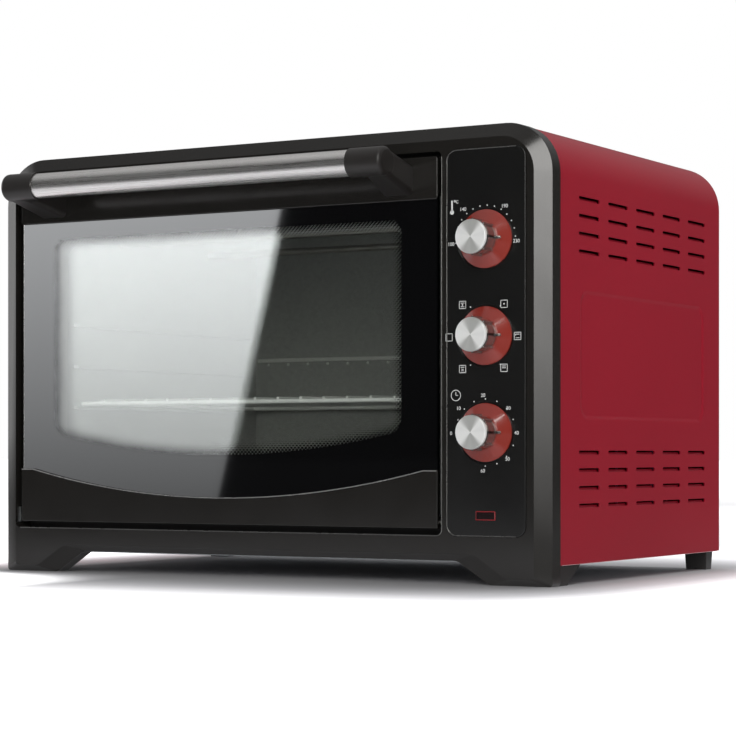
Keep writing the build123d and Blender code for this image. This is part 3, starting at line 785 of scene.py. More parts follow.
@dataclass(frozen=True)
class FiredCeramic:
    """Unglazed steatite: chalky, with dark firing specks."""

    name: str
    colour: str
    speck_colour: str
    # The noise's own measure, of which only the tops are specks
    noise_mm: float = METRE / 1500
    pit_depth_mm: float = 0.03

    def material(self) -> Material:
        """Builds the ceramic: specks a third of a millimetre wide and a dry surface.

        Returns:
            The material.
        """
        material, tree, _ = new_surface(self.name, {"Roughness": 0.75})
        place = object_place(tree)
        specks = add_node(
            tree, "ShaderNodeTexNoise", {"Vector": place, "Scale": METRE / self.noise_mm}
        )
        share = add_node(tree, "ShaderNodeMapRange", {"Value": specks, 1: 0.66, 2: 0.74})
        tone = add_node(
            tree,
            "ShaderNodeMix",
            {0: share, MIX_A: linear(self.colour), MIX_B: linear(self.speck_colour)},
            data_type="RGBA",
        )
        relief = add_node(
            tree,
            "ShaderNodeBump",
            {"Strength": 0.4, "Distance": self.pit_depth_mm * MM, "Height": specks},
        )
        return finished(material, tone, relief=relief)


@dataclass(frozen=True)
class ScreenInk:
    """Screen printed ink: flat light grey with a slightly broken edge of tone."""

    name: str
    colour: str
    thin_colour: str
    thin_mm: float = METRE / 900

    def material(self) -> Material:
        """Builds the ink: matt, a little thinner in places.

        Returns:
            The material.
        """
        material, tree, _ = new_surface(self.name, {"Roughness": 0.6})
        place = object_place(tree)
        thin = add_node(
            tree, "ShaderNodeTexNoise", {"Vector": place, "Scale": METRE / self.thin_mm}
        )
        tone = add_node(
            tree,
            "ShaderNodeMix",
            {0: thin, MIX_A: linear(self.colour), MIX_B: linear(self.thin_colour)},
            data_type="RGBA",
        )
        return finished(material, tone)


@dataclass(frozen=True)
class LitLens:
    """Clear red acrylic over a dark lamp hole: the light its bevelled rim gathers is a painted
    highlight, and its dark middle is painted shade.
    """

    name: str
    centre: Vector
    half_size: Vector
    painted_rim_glow_colour: str = "#9c2a30"
    # The middle's colour is painted shade of the dark lamp hole behind
    deep_colour: str = "#17070a"
    rim_mm: float = 1.2
    # The wave's own scale, which gives a prism every 2 mm
    prism_scale: float = 160.0
    prism_depth_mm: float = 0.05

    def material(self) -> Material:
        """Builds the lens: a painted dark middle, a painted bright rim and fine prisms.

        Returns:
            The material.
        """
        material, tree, _ = new_surface(
            self.name, {"Roughness": 0.1, "Coat Weight": 0.6, "Coat Roughness": 0.03}
        )
        middle = add_node(
            tree,
            "ShaderNodeMapping",
            {"Vector": object_place(tree), "Location": tuple(-self.centre)},
        )
        mirrored = add_node(tree, "ShaderNodeVectorMath", {0: middle}, operation="ABSOLUTE")
        inward = add_node(
            tree,
            "ShaderNodeVectorMath",
            {0: tuple(self.half_size), 1: mirrored},
            operation="SUBTRACT",
        )
        axes = add_node(tree, "ShaderNodeSeparateXYZ", {0: inward})
        nearest = add_node(
            tree, "ShaderNodeMath", {0: axes.outputs[0], 1: axes.outputs[2]}, operation="MINIMUM"
        )
        # Painted highlight on the rim, painted shade in the middle
        rim = add_node(
            tree,
            "ShaderNodeMapRange",
            {"Value": nearest, 1: 0.0, 2: self.rim_mm * MM, 3: 1.0, 4: 0.0},
            interpolation_type="SMOOTHSTEP",
        )
        tone = add_node(
            tree,
            "ShaderNodeMix",
            {0: rim, MIX_A: linear(self.deep_colour), MIX_B: linear(self.painted_rim_glow_colour)},
            data_type="RGBA",
        )
        prisms = add_node(
            tree, "ShaderNodeTexWave", {"Vector": object_place(tree), "Scale": self.prism_scale}
        )
        relief = add_node(
            tree,
            "ShaderNodeBump",
            {"Strength": 0.3, "Distance": self.prism_depth_mm * MM, "Height": prisms},
        )
        return finished(material, tone, relief=relief)


@dataclass
class Palette:
    """Every finish of the oven, made once."""

    shared: dict[str, Material] = field(default_factory=dict)

    def mix(self, *finishes: Any) -> None:
        """Builds the materials of some finishes and keeps them by name."""
        for finish in finishes:
            self.shared[finish.name] = finish.material()

    def __getitem__(self, name: str) -> Material:
        """Gives a finish's material by its name."""
        return self.shared[name]


def mix_palette() -> Palette:
    """Makes the finishes of the whole oven.

    Returns:
        The palette, by finish name.
    """
    palette = Palette()
    palette.mix(
        MouldedPlastic(
            "satin_black_abs", "#1b1a18", "#1f1d1b", roughness=0.16, grain_depth_mm=0.004
        ),
        MouldedPlastic(
            "fine_matt_black_abs", "#131313", "#161615", roughness=0.2, grain_depth_mm=0.004
        ),
        MouldedPlastic("grained_black_abs", "#1b1918", "#24211f", roughness=0.4, grain_mm=1.3),
        MouldedPlastic("foot_black_abs", "#1d1c1b", "#252322", roughness=0.45, grain_mm=1.4),
        MouldedPlastic("inner_black_phenolic", "#1d1b19", "#2a2724", roughness=0.55, grain_mm=1.6),
        MouldedPlastic("terminal_white_nylon", "#d8d5cc", "#c9c5b8", roughness=0.5),
        MouldedPlastic(
            "gloss_red_abs", "#80291f", "#8a2e25", roughness=0.16, grain_depth_mm=0.002, coat=0.5
        ),
        MouldedPlastic("blue_wire_pvc", "#27365a", "#31426c", roughness=0.45),
        BakedEnamel("red_case_enamel", "#941829", "#8b1425"),
        BakedEnamel("black_cover_enamel", "#1c1b1b", "#161616", roughness=0.42, peel_mm=3.0),
        CoatedSteelSheet("zinc_dipped_sheet", "#a7abad", "#bcc0c2"),
        CoatedSteelSheet(
            "aluminised_cavity_sheet",
            "#b2b2b0",
            "#bbbbb9",
            roughness=0.5,
            flake_mm=3.0,
            metallic=0.5,
        ),
        CoatedSteelSheet(
            "dulled_floor_sheet", "#848482", "#8c8c8a", roughness=0.5, flake_mm=3.0, metallic=0.5
        ),
        BrushedSteel("handle_brushed_steel", "#f6f4f2", "#eeecea", roughness=0.27, relief=0.04),
        BrushedSteel(
            "heat_darkened_steel", "#b5b2ae", "#a19c97", scratch_scale=(40, 600, 600), roughness=0.4
        ),
        # Bright beads that paint the highlight lines along edges
        BrightPlate("hot_foil_line", "#d2d2d0", "#bdbdbb", roughness=0.25),
        BrightPlate("dark_foil_line", "#8a8a88", "#7a7a78", roughness=0.25),
        BrightPlate("rack_chrome", "#fbfbfa", "#f2f2f0", roughness=0.3, metallic=0.05),
        # A pale bead that paints the table's reflection along the case's hem
        BrightPlate("bare_cut_steel", "#dcbcbe", "#c8a4a7", roughness=0.4, metallic=0.1),
        # The back rib's sheet is whiter than the cavity's own: a painted highlight
        BrightPlate("pressed_rib_sheet", "#f6f6f4", "#e4e4e2", roughness=0.35, metallic=0.1),
        BrightPlate("zinc_screw_plate", "#b9b8b2", "#a09f99", roughness=0.25),
        ClearGlass("oven_inner_glass", "#fafbfa"),
        ClearGlass("lamp_pressed_glass", "#f3efe4", roughness=0.06),
        FiredCeramic("white_steatite", "#dedbd2", "#8f8a80"),
        ScreenInk("light_grey_ink", "#dcdddc", "#c6c7c6"),
    )
    return palette


# Meshes


class Side(Enum):
    """Which side of the oven a row of slots is on."""

    LEFT = -1
    RIGHT = 1


def new_piece(name: str, mesh: Mesh) -> Object:
    """Puts a mesh in the scene as a piece at the origin."""
    piece = bpy.data.objects.new(name, mesh)
    bpy.context.collection.objects.link(piece)
    return piece


def give_finish(piece: Object, material: Material) -> None:
    """Gives a piece one finish all over."""
    piece.data.materials.clear()
    piece.data.materials.append(material)


def dress_node(node: str, material: Material) -> None:
    """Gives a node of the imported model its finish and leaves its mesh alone.

    Args:
        node: The node's name.
        material: The finish.
    """
    holder = frame["nodes"][node]
    for slot in holder.material_slots:
        slot.link = "OBJECT"
        slot.material = material
    if not holder.material_slots:
        holder.data.materials.append(material)
    LOG.info("dressed %s in %s", node, material.name)


def body_of_node(node: str) -> str:
    """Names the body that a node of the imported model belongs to."""
    bodies = frame["record"]["behaviour"]["bodies"]
    return next(body for body, members in bodies.items() if node in members)


def merged_copy(node: str) -> BMesh:
    """Copies a node's loose triangles into one joined shape with whole flat faces.

    Args:
        node: The node's name.

    Returns:
        The joined shape, which the caller frees.
    """
    shape = bmesh.new()
    shape.from_mesh(frame["nodes"][node].data)
    bmesh.ops.remove_doubles(shape, verts=shape.verts, dist=JOIN_WITHIN)
    bmesh.ops.dissolve_limit(
        shape, angle_limit=math.radians(FLAT_DEG), verts=shape.verts, edges=shape.edges
    )
    return shape


def soften_node(
    node: str,
    material: Material,
    edge_mm: float,
    segments: int = 3,
    shape: BMesh | None = None,
    rounded_deg: float = CREASE_DEG,
) -> Object:
    """Replaces a node by a copy whose edges are rounded as moulding or folding leaves them.

    Args:
        node: The node's name.
        material: The copy's finish.
        edge_mm: The radius of the rounded edges, or 0 for smooth shading alone.
        segments: How many steps each rounded edge has.
        shape: A reworked copy of the node's shape, or None for the node's own.
        rounded_deg: The angle above which an edge is rounded.

    Returns:
        The new piece, riding on the node's body.
    """
    shape = shape or merged_copy(node)
    mesh = bpy.data.meshes.new(node + "_softened")
    shape.to_mesh(mesh)
    shape.free()
    mesh.shade_smooth()
    mesh.set_sharp_from_angle(angle=math.radians(CREASE_DEG))
    piece = new_piece(node + "_softened", mesh)
    give_finish(piece, material)
    if edge_mm:
        rounding = piece.modifiers.new("edges", "BEVEL")
        rounding.width = edge_mm * MM
        rounding.segments = segments
        rounding.limit_method = "ANGLE"
        rounding.angle_limit = math.radians(rounded_deg)
        rounding.use_clamp_overlap = True
    flats = piece.modifiers.new("flat_faces", "WEIGHTED_NORMAL")
    flats.mode, flats.weight, flats.keep_sharp = "FACE_AREA", 70, True
    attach(piece, body_of_node(node))
    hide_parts(node)
    LOG.info("softened %s by %.2f mm in %s", node, edge_mm, material.name)
    return piece


class NodeRecipe:
    """A Geometry Nodes tree with named sizes, run once to give a plain mesh."""

    def __init__(self, name: str, sizes: dict[str, tuple[str, Any]]) -> None:
        """Starts the tree.

        Args:
            name: The tree's name.
            sizes: Input name to its socket type and its value.
        """
        self.name = name
        self.tree = bpy.data.node_groups.new(name, "GeometryNodeTree")
        face = self.tree.interface
        face.new_socket("Geometry", in_out="OUTPUT", socket_type="NodeSocketGeometry")
        face.new_socket("Geometry", in_out="INPUT", socket_type="NodeSocketGeometry")
        self.values: dict[str, Any] = {}
        for size, (kind, value) in sizes.items():
            socket = face.new_socket(size, in_out="INPUT", socket_type=kind)
            self.values[socket.identifier] = value
        self.given = self.tree.nodes.new("NodeGroupInput")

    def size(self, name: str) -> NodeSocket:
        """Gives the socket of a named size."""
        return self.given.outputs[name]

    def add(self, kind: str, inputs: dict[Any, Any] | None = None, **settings: Any) -> Node:
        """Adds a node to the recipe."""
        return add_node(self.tree, kind, inputs, **settings)

    def cook(
        self,
        geometry: Node,
        material: Material,
        seats: Sequence[Vector] = (),
        chained: bool = False,
    ) -> Object:
        """Ends the tree, runs it and keeps the result as a plain piece.

        Args:
            geometry: The node that ends the shape.
            material: The finish of the result.
            seats: Points that the tree gets as its input.
            chained: Whether each point is joined to the next.

        Returns:
            The piece, at the origin, with no modifier.
        """
        real = self.add("GeometryNodeRealizeInstances", {0: geometry})
        dressed = self.add("GeometryNodeSetMaterial", {"Geometry": real, "Material": material})
        self.add("NodeGroupOutput", {0: dressed})
        host_mesh = bpy.data.meshes.new(self.name + "_seats")
        links = [(i, i + 1) for i in range(len(seats) - 1)] if chained else []
        host_mesh.from_pydata([tuple(seat) for seat in seats], links, [])
        host = new_piece(self.name + "_host", host_mesh)
        modifier = host.modifiers.new(self.name, "NODES")
        modifier.node_group = self.tree
        for identifier, value in self.values.items():
            modifier[identifier] = value
        graph = bpy.context.evaluated_depsgraph_get()
        mesh = bpy.data.meshes.new_from_object(host.evaluated_get(graph), depsgraph=graph)
        host.modifiers.remove(modifier)
        bpy.data.objects.remove(host)
        mesh.name = self.name
        piece = new_piece(self.name, mesh)
        LOG.info("made %s with %d faces", self.name, len(mesh.polygons))
        return piece


@dataclass
class PanScrews:
    """Pan head screws with a cross recess, all facing one way."""

    name: str
    seats: Sequence[Vector]
    outward: tuple[float, float, float]
    head_radius: float = 3.7 * MM
    head_height: float = 2.0 * MM
    shank_radius: float = 1.9 * MM
    shank_length: float = 6.0 * MM
    recess_width: float = 1.0 * MM
    recess_length: float = 4.2 * MM
    recess_depth: float = 1.2 * MM
    crease_deg: float = 35.0

    def build(self, material: Material) -> Object:
        """Makes every screw of the group as one mesh.

        Args:
            material: The screws' finish.

        Returns:
            The screws' piece.
        """
        recipe = NodeRecipe(
            self.name,
            {
                "Head Radius": ("NodeSocketFloat", self.head_radius),
                "Head Height": ("NodeSocketFloat", self.head_height),
                "Shank Radius": ("NodeSocketFloat", self.shank_radius),
                "Shank Length": ("NodeSocketFloat", self.shank_length),
                "Recess Size": (
                    "NodeSocketVector",
                    (self.recess_length, self.recess_width, 2 * self.recess_depth),
                ),
                "Outward": ("NodeSocketVector", self.outward),
            },
        )
        ball = recipe.add(
            "GeometryNodeMeshUVSphere", {"Segments": 28, "Rings": 16, "Radius": 1.0}
        )
        where = recipe.add("GeometryNodeInputPosition")
        axes = recipe.add("ShaderNodeSeparateXYZ", {0: where})
        lifted = recipe.add("ShaderNodeMath", {0: axes.outputs[2], 1: 0.0}, operation="MAXIMUM")
        upper = recipe.add(
            "ShaderNodeCombineXYZ", {0: axes.outputs[0], 1: axes.outputs[1], 2: lifted}
        )
        dome = recipe.add("GeometryNodeSetPosition", {"Geometry": ball, "Position": upper})
        radius, height = recipe.size("Head Radius"), recipe.size("Head Height")
        spread = recipe.add("ShaderNodeCombineXYZ", {0: radius, 1: radius, 2: height})
        head = recipe.add("GeometryNodeTransform", {"Geometry": dome, "Scale": spread})
        top = recipe.add("ShaderNodeCombineXYZ", {0: 0.0, 1: 0.0, 2: height})
        bar = recipe.add("GeometryNodeMeshCube", {"Size": recipe.size("Recess Size")})
        long_bar = recipe.add("GeometryNodeTransform", {"Geometry": bar, "Translation": top})
        cross_bar = recipe.add(
            "GeometryNodeTransform",
            {"Geometry": bar, "Translation": top, "Rotation": (0.0, 0.0, math.pi / 2)},
        )
        cut = head
        for recess in (long_bar, cross_bar):
            cut = recipe.add(
                "GeometryNodeMeshBoolean",
                {0: cut, 1: recess},
                operation="DIFFERENCE",
                solver="EXACT",
            )
        length = recipe.size("Shank Length")
        shank = recipe.add(
            "GeometryNodeMeshCylinder",
            {"Vertices": 20, "Radius": recipe.size("Shank Radius"), "Depth": length},
        )
        half = recipe.add("ShaderNodeMath", {0: length, 1: -0.5}, operation="MULTIPLY")
        below = recipe.add("ShaderNodeCombineXYZ", {0: 0.0, 1: 0.0, 2: half})
        sunk = recipe.add("GeometryNodeTransform", {"Geometry": shank, "Translation": below})
        screw = recipe.add("GeometryNodeJoinGeometry", {0: cut})
        recipe.tree.links.new(sunk.outputs[0], screw.inputs[0])
        turn = recipe.add(
            "FunctionNodeAlignRotationToVector", {"Vector": recipe.size("Outward")}, axis="Z"
        )
        placed = recipe.add(
            "GeometryNodeInstanceOnPoints",
            {"Points": recipe.given.outputs["Geometry"], "Instance": screw, "Rotation": turn},
        )
        piece = recipe.cook(placed, material, self.seats)
        piece.data.shade_smooth()
        piece.data.set_sharp_from_angle(angle=math.radians(self.crease_deg))
        return piece


@dataclass
class SlotLouvres:
    """The pressed flap behind each slot of a row, which sheds drops outwards."""

    name: str
    seats: Sequence[Vector]
    side: Side
    length: float = 40.5 * MM
    reach: float = 4.8 * MM
    thickness: float = 0.5 * MM
    slope: float = math.radians(60)

    def build(self, material: Material) -> Object:
        """Makes the flaps of one side as one mesh.

        Args:
            material: The flaps' finish.

        Returns:
            The flaps' piece.
        """
        recipe = NodeRecipe(
            self.name,
            {
                "Flap Size": ("NodeSocketVector", (self.reach, self.length, self.thickness)),
                "Slope": ("NodeSocketVector", (0.0, self.side.value * self.slope, 0.0)),
            },
        )
        flap = recipe.add("GeometryNodeMeshCube", {"Size": recipe.size("Flap Size")})
        tilted = recipe.add(
            "GeometryNodeTransform", {"Geometry": flap, "Rotation": recipe.size("Slope")}
        )
        placed = recipe.add(
            "GeometryNodeInstanceOnPoints",
            {"Points": recipe.given.outputs["Geometry"], "Instance": tilted},
        )
        return recipe.cook(placed, material, self.seats)


@dataclass
class BackRib:
    """A half-round rib pressed across the cavity's back wall, with pips under it."""

    name: str
    left: float
    right: float
    wall: float
    height: float
    radius: float = 2.0 * MM
    pip_radius: float = 1.6 * MM
    pip_drop: float = 4.4 * MM
    pip_pitch: float = 24.0 * MM
    crease_deg: float = 40.0

    def build(self, material: Material) -> Object:
        """Makes the rib and its pips as one mesh.

        Args:
            material: The rib's finish.

        Returns:
            The rib's piece.
        """
        count = int((self.right - self.left) / self.pip_pitch)
        first = (self.left + self.right - (count - 1) * self.pip_pitch) / 2
        recipe = NodeRecipe(
            self.name,
            {
                "Left": ("NodeSocketVector", (self.left, self.wall, self.height)),
                "Right": ("NodeSocketVector", (self.right, self.wall, self.height)),
                "Rib Radius": ("NodeSocketFloat", self.radius),
                "Pip Radius": ("NodeSocketFloat", self.pip_radius),
                "Pip Count": ("NodeSocketInt", count),
                "First Pip": ("NodeSocketVector", (first, self.wall, self.height - self.pip_drop)),
                "Pip Step": ("NodeSocketVector", (self.pip_pitch, 0.0, 0.0)),
            },
        )
        line = recipe.add(
            "GeometryNodeCurvePrimitiveLine", {0: recipe.size("Left"), 1: recipe.size("Right")}
        )
        round_bar = recipe.add(
            "GeometryNodeCurvePrimitiveCircle",
            {"Resolution": 16, "Radius": recipe.size("Rib Radius")},
        )
        rib = recipe.add(
            "GeometryNodeCurveToMesh",
            {"Curve": line, "Profile Curve": round_bar, "Fill Caps": True},
        )
        row = recipe.add(
            "GeometryNodeMeshLine",
            {
                "Count": recipe.size("Pip Count"),
                "Start Location": recipe.size("First Pip"),
                "Offset": recipe.size("Pip Step"),
            },
        )
        pip = recipe.add(
            "GeometryNodeMeshIcoSphere", {"Radius": recipe.size("Pip Radius"), "Subdivisions": 3}
        )
        pips = recipe.add("GeometryNodeInstanceOnPoints", {"Points": row, "Instance": pip})
        both = recipe.add("GeometryNodeJoinGeometry", {0: rib})
        recipe.tree.links.new(pips.outputs[0], both.inputs[0])
        piece = recipe.cook(both, material)
        piece.data.shade_smooth()
        piece.data.set_sharp_from_angle(angle=math.radians(self.crease_deg))
        return piece


@dataclass
class EdgeBead:
    """A thin half-sunk bright bead along an edge: a painted line of the light that the edge
    catches.
    """

    name: str
    path: Sequence[Vector]
    radius: float = 0.45 * MM

    def build(self, material: Material) -> Object:
        """Sweeps the bead along its path.

        Args:
            material: The bead's finish.

        Returns:
            The bead's piece.
        """
        recipe = NodeRecipe(self.name, {"Bead Radius": ("NodeSocketFloat", self.radius)})
        row = recipe.add("GeometryNodeMeshToCurve", {"Mesh": recipe.given.outputs["Geometry"]})
        bead = recipe.add(
            "GeometryNodeCurvePrimitiveCircle",
            {"Resolution": 10, "Radius": recipe.size("Bead Radius")},
        )
        swept = recipe.add(
            "GeometryNodeCurveToMesh", {"Curve": row, "Profile Curve": bead, "Fill Caps": True}
        )
        piece = recipe.cook(swept, material, self.path, chained=True)
        piece.data.shade_smooth()
        return piece


def rounded_path(
    corners: Sequence[Point], radius: float, plane_y: float, steps: int = 8
) -> list[Vector]:
    """Lays a path on a front plane, with every corner but the ends rounded.

    Args:
        corners: The path's corners, as X and Z in metres.
        radius: The corners' radius.
        plane_y: The plane's place.
        steps: How many steps each corner has.

    Returns:
        The path's points.
    """
    flat = [Vector(c) for c in corners]
    path = [flat[0]]
    for before, corner, after in zip(flat, flat[1:], flat[2:]):
        start = corner + (before - corner).normalized() * radius
        end = corner + (after - corner).normalized() * radius
        middle = start + end - corner
        for step in range(steps + 1):
            turn = 0.5 * math.pi * step / steps
            along, across = math.cos(turn), math.sin(turn)
            path.append(middle + (start - middle) * along + (end - middle) * across)
    path.append(flat[-1])
    return [Vector((x, plane_y, z)) for x, z in path]


@dataclass
class DialDots:
    """A ring of printed dots round a dial, evenly stepped clockwise from the top."""

    name: str
    centre: Vector
    first_deg: float
    step_deg: float
    count: int
    ring_radius: float = 27.7 * MM
    dot_radius: float = 0.55 * MM
    thickness: float = 0.06 * MM

    def build(self, material: Material) -> Object:
        """Makes the ring of dots as one mesh.

        Args:
            material: The ink.

        Returns:
            The dots' piece.
        """
        recipe = NodeRecipe(
            self.name,
            {
                "Count": ("NodeSocketInt", self.count),
                "First Angle": ("NodeSocketFloat", math.radians(self.first_deg)),
                "Step Angle": ("NodeSocketFloat", math.radians(self.step_deg)),
                "Ring Radius": ("NodeSocketFloat", self.ring_radius),
                "Dot Radius": ("NodeSocketFloat", self.dot_radius),
                "Thickness": ("NodeSocketFloat", self.thickness),
                "Centre": ("NodeSocketVector", tuple(self.centre)),
            },
        )
        row = recipe.add("GeometryNodeMeshLine", {"Count": recipe.size("Count")})
        number = recipe.add("GeometryNodeInputIndex")
        angle = recipe.add(
            "ShaderNodeMath",
            {0: number, 1: recipe.size("Step Angle"), 2: recipe.size("First Angle")},
            operation="MULTIPLY_ADD",
        )
        across = recipe.add("ShaderNodeMath", {0: angle}, operation="SINE")
        upward = recipe.add("ShaderNodeMath", {0: angle}, operation="COSINE")
        spoke = recipe.add("ShaderNodeCombineXYZ", {0: across, 1: 0.0, 2: upward})
        reach = recipe.add(
            "ShaderNodeVectorMath", {0: spoke, 3: recipe.size("Ring Radius")}, operation="SCALE"
        )
        place = recipe.add(
            "ShaderNodeVectorMath", {0: reach, 1: recipe.size("Centre")}, operation="ADD"
        )
        ring = recipe.add("GeometryNodeSetPosition", {"Geometry": row, "Position": place})
        thickness = recipe.size("Thickness")
        dot = recipe.add(
            "GeometryNodeMeshCylinder",
            {"Vertices": 18, "Radius": recipe.size("Dot Radius"), "Depth": thickness},
        )
        placed = recipe.add(
            "GeometryNodeInstanceOnPoints",
            {"Points": ring, "Instance": dot, "Rotation": (math.pi / 2, 0.0, 0.0)},
        )
        return recipe.cook(placed, material)


# Printed signs


@dataclass
class Print:
    """Flat printed shapes on a plane that faces the front, gathered into one mesh."""

    plane_y: float
    stroke: float = 0.55 * MM
    # A figure's height as a share of the type's size, and how much bolder it is drawn
    figure_share: float = 0.7
    bolder: float = 0.02
    shape: BMesh = field(default_factory=bmesh.new)

    def quad(self, corners: Iterable[Point]) -> None:
        """Adds a filled shape from its corners in metres, as X and Z."""
        dots = [self.shape.verts.new((x, self.plane_y, z)) for x, z in corners]
        self.shape.faces.new(dots)

    def bar(self, start: Point, end: Point, width: float | None = None) -> None:
        """Adds a straight stroke between two points.

        Args:
            start: One end, as X and Z in metres.
            end: The other end.
            width: The stroke's width, or None for the print's own.
        """
        a, b = Vector(start), Vector(end)
        along = (b - a).normalized() * (width or self.stroke) / 2
        across = Vector((-along.y, along.x))
        corners = (a - along + across, a - along - across, b + along - across, b + along + across)
        self.quad([(c.x, c.y) for c in corners])

    def ring(self, centre: Point, radius: float, steps: int) -> None:
        """Adds a round outline of one stroke's width.

        Args:
            centre: Its middle, as X and Z in metres.
            radius: Its radius, to the middle of the stroke.
            steps: How many flat pieces it has.
        """
        half = self.stroke / 2
        for step in range(steps):
            turn = [2 * math.pi * (step + more) / steps for more in (0, 1)]
            self.quad(
                (centre[0] + reach * math.sin(t), centre[1] + reach * math.cos(t))
                for reach, t in (
                    (radius - half, turn[0]),
                    (radius + half, turn[0]),
                    (radius + half, turn[1]),
                    (radius - half, turn[1]),
                )
            )

    def disc(self, centre: Point, radius: float, steps: int = 20) -> None:
        """Adds a filled round spot."""
        x, z = centre
        turns = [2 * math.pi * step / steps for step in range(steps)]
        self.quad([(x + radius * math.sin(t), z + radius * math.cos(t)) for t in turns])

    def box(self, centre: Point, width: float, height: float) -> None:
        """Adds a rectangular outline.

        Args:
            centre: Its middle, as X and Z in metres.
            width: Its width, to the middle of the strokes.
            height: Its height.
        """
        x, z = centre
        w, h = width / 2, height / 2
        corners = [(x - w, z - h), (x + w, z - h), (x + w, z + h), (x - w, z + h)]
        for start, end in zip(corners, corners[1:] + corners[:1]):
            self.bar(start, end)

    def words(self, text: str, centre: Point, height: float) -> None:
        """Adds figures or a letter, upright on the plane.

        Args:
            text: What to print.
            centre: Its middle, as X and Z in metres.
            height: The figures' height in metres.
        """
        curve = bpy.data.curves.new("figures", "FONT")
        curve.body, curve.size = text, height / self.figure_share
        curve.align_x, curve.align_y = "CENTER", "CENTER"
        curve.offset = self.bolder * height
        holder = new_piece("figures", curve)
        graph = bpy.context.evaluated_depsgraph_get()
        mesh = bpy.data.meshes.new_from_object(holder.evaluated_get(graph), depsgraph=graph)
        bpy.data.objects.remove(holder)
        stand = Matrix.Translation((centre[0], self.plane_y, centre[1])) @ Matrix.Rotation(
            math.pi / 2, 4, "X"
        )
        mesh.transform(stand)
        self.shape.from_mesh(mesh)
        bpy.data.meshes.remove(mesh)

    def piece(self, name: str, material: Material, body: str) -> Object:
        """Ends the print as a piece with its faces to the front.

        Args:
            name: The piece's name.
            material: The ink.
            body: The body that it rides on.

        Returns:
            The printed piece.
        """
        bmesh.ops.recalc_face_normals(self.shape, faces=self.shape.faces)
        for face in self.shape.faces:
            if face.normal.y > 0:
                face.normal_flip()
        mesh = bpy.data.meshes.new(name)
        self.shape.to_mesh(mesh)
        self.shape.free()
        printed = new_piece(name, mesh)
        give_finish(printed, material)
        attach(printed, body)
        LOG.info("printed %s", name)
        return printed


# Sub-assemblies


@dataclass
class FrontFrame:
    """The black moulded front with its control plate and pilot light."""

    edge_mm: float = 1.2
    plate_edge_mm: float = 1.5
    lens_edge_mm: float = 0.5
    lens_window: Point = (18.3 * MM, 7.6 * MM)
    bead_radius: float = 0.5 * MM
    bead_sunk: float = 0.25 * MM
    plate_corner: float = 9.0 * MM
    opening_corner: float = 5.0 * MM
    side_gap: float = 5.0 * MM
    low_gap: float = 5.6 * MM
    bead_inset: float = 0.4 * MM
    rounded_deg: float = 50.0

    def build(self, palette: Palette) -> None:
        """Makes the frame, the plate and the pilot light.

        Args:
            palette: The oven's finishes.
        """
        black = palette["satin_black_abs"]
        soften_node("front_frame", black, self.edge_mm, rounded_deg=self.rounded_deg)
        soften_node("control_fascia", palette["fine_matt_black_abs"], self.plate_edge_mm)
        low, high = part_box("indicator_lens")
        window = Vector((self.lens_window[0] / 2, 1.0, self.lens_window[1] / 2))
        palette.mix(LitLens("red_lens_acrylic", (low + high) / 2, window))
        soften_node("indicator_lens", palette["red_lens_acrylic"], self.lens_edge_mm)
        dress_node("indicator_lamp", palette["lamp_pressed_glass"])
        self.edge_highlight_lines(palette)

    def edge_highlight_lines(self, palette: Palette) -> None:
        """Lays painted highlight lines along the control plate's edge and the lower and right lip
        of the door opening.

        Args:
            palette: The oven's finishes.
        """
        low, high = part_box("control_fascia")
        front = low.y + self.bead_sunk
        inset = self.bead_inset
        plate = rounded_path(
            (
                (high.x - self.plate_corner, low.z + inset),
                (low.x + inset, low.z + inset),
                (low.x + inset, high.z - inset),
                (high.x - self.plate_corner, high.z - inset),
            ),
            self.plate_corner,
            front,
        )
        bead = EdgeBead("plate_foil_line", plate, self.bead_radius).build(palette["dark_foil_line"])
        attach(bead, "housing")
        door_low, door_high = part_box("door_bottom_rail")
        right, floor = door_high.x + self.side_gap, door_low.z - self.low_gap
        lip = rounded_path(
            ((door_low.x, floor), (right, floor), (right, high.z - self.opening_corner)),
            self.opening_corner,
            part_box("front_frame")[0].y + self.bead_sunk,
        )
        bead = EdgeBead("opening_foil_line", lip, self.bead_radius).build(palette["dark_foil_line"])
        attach(bead, "housing")


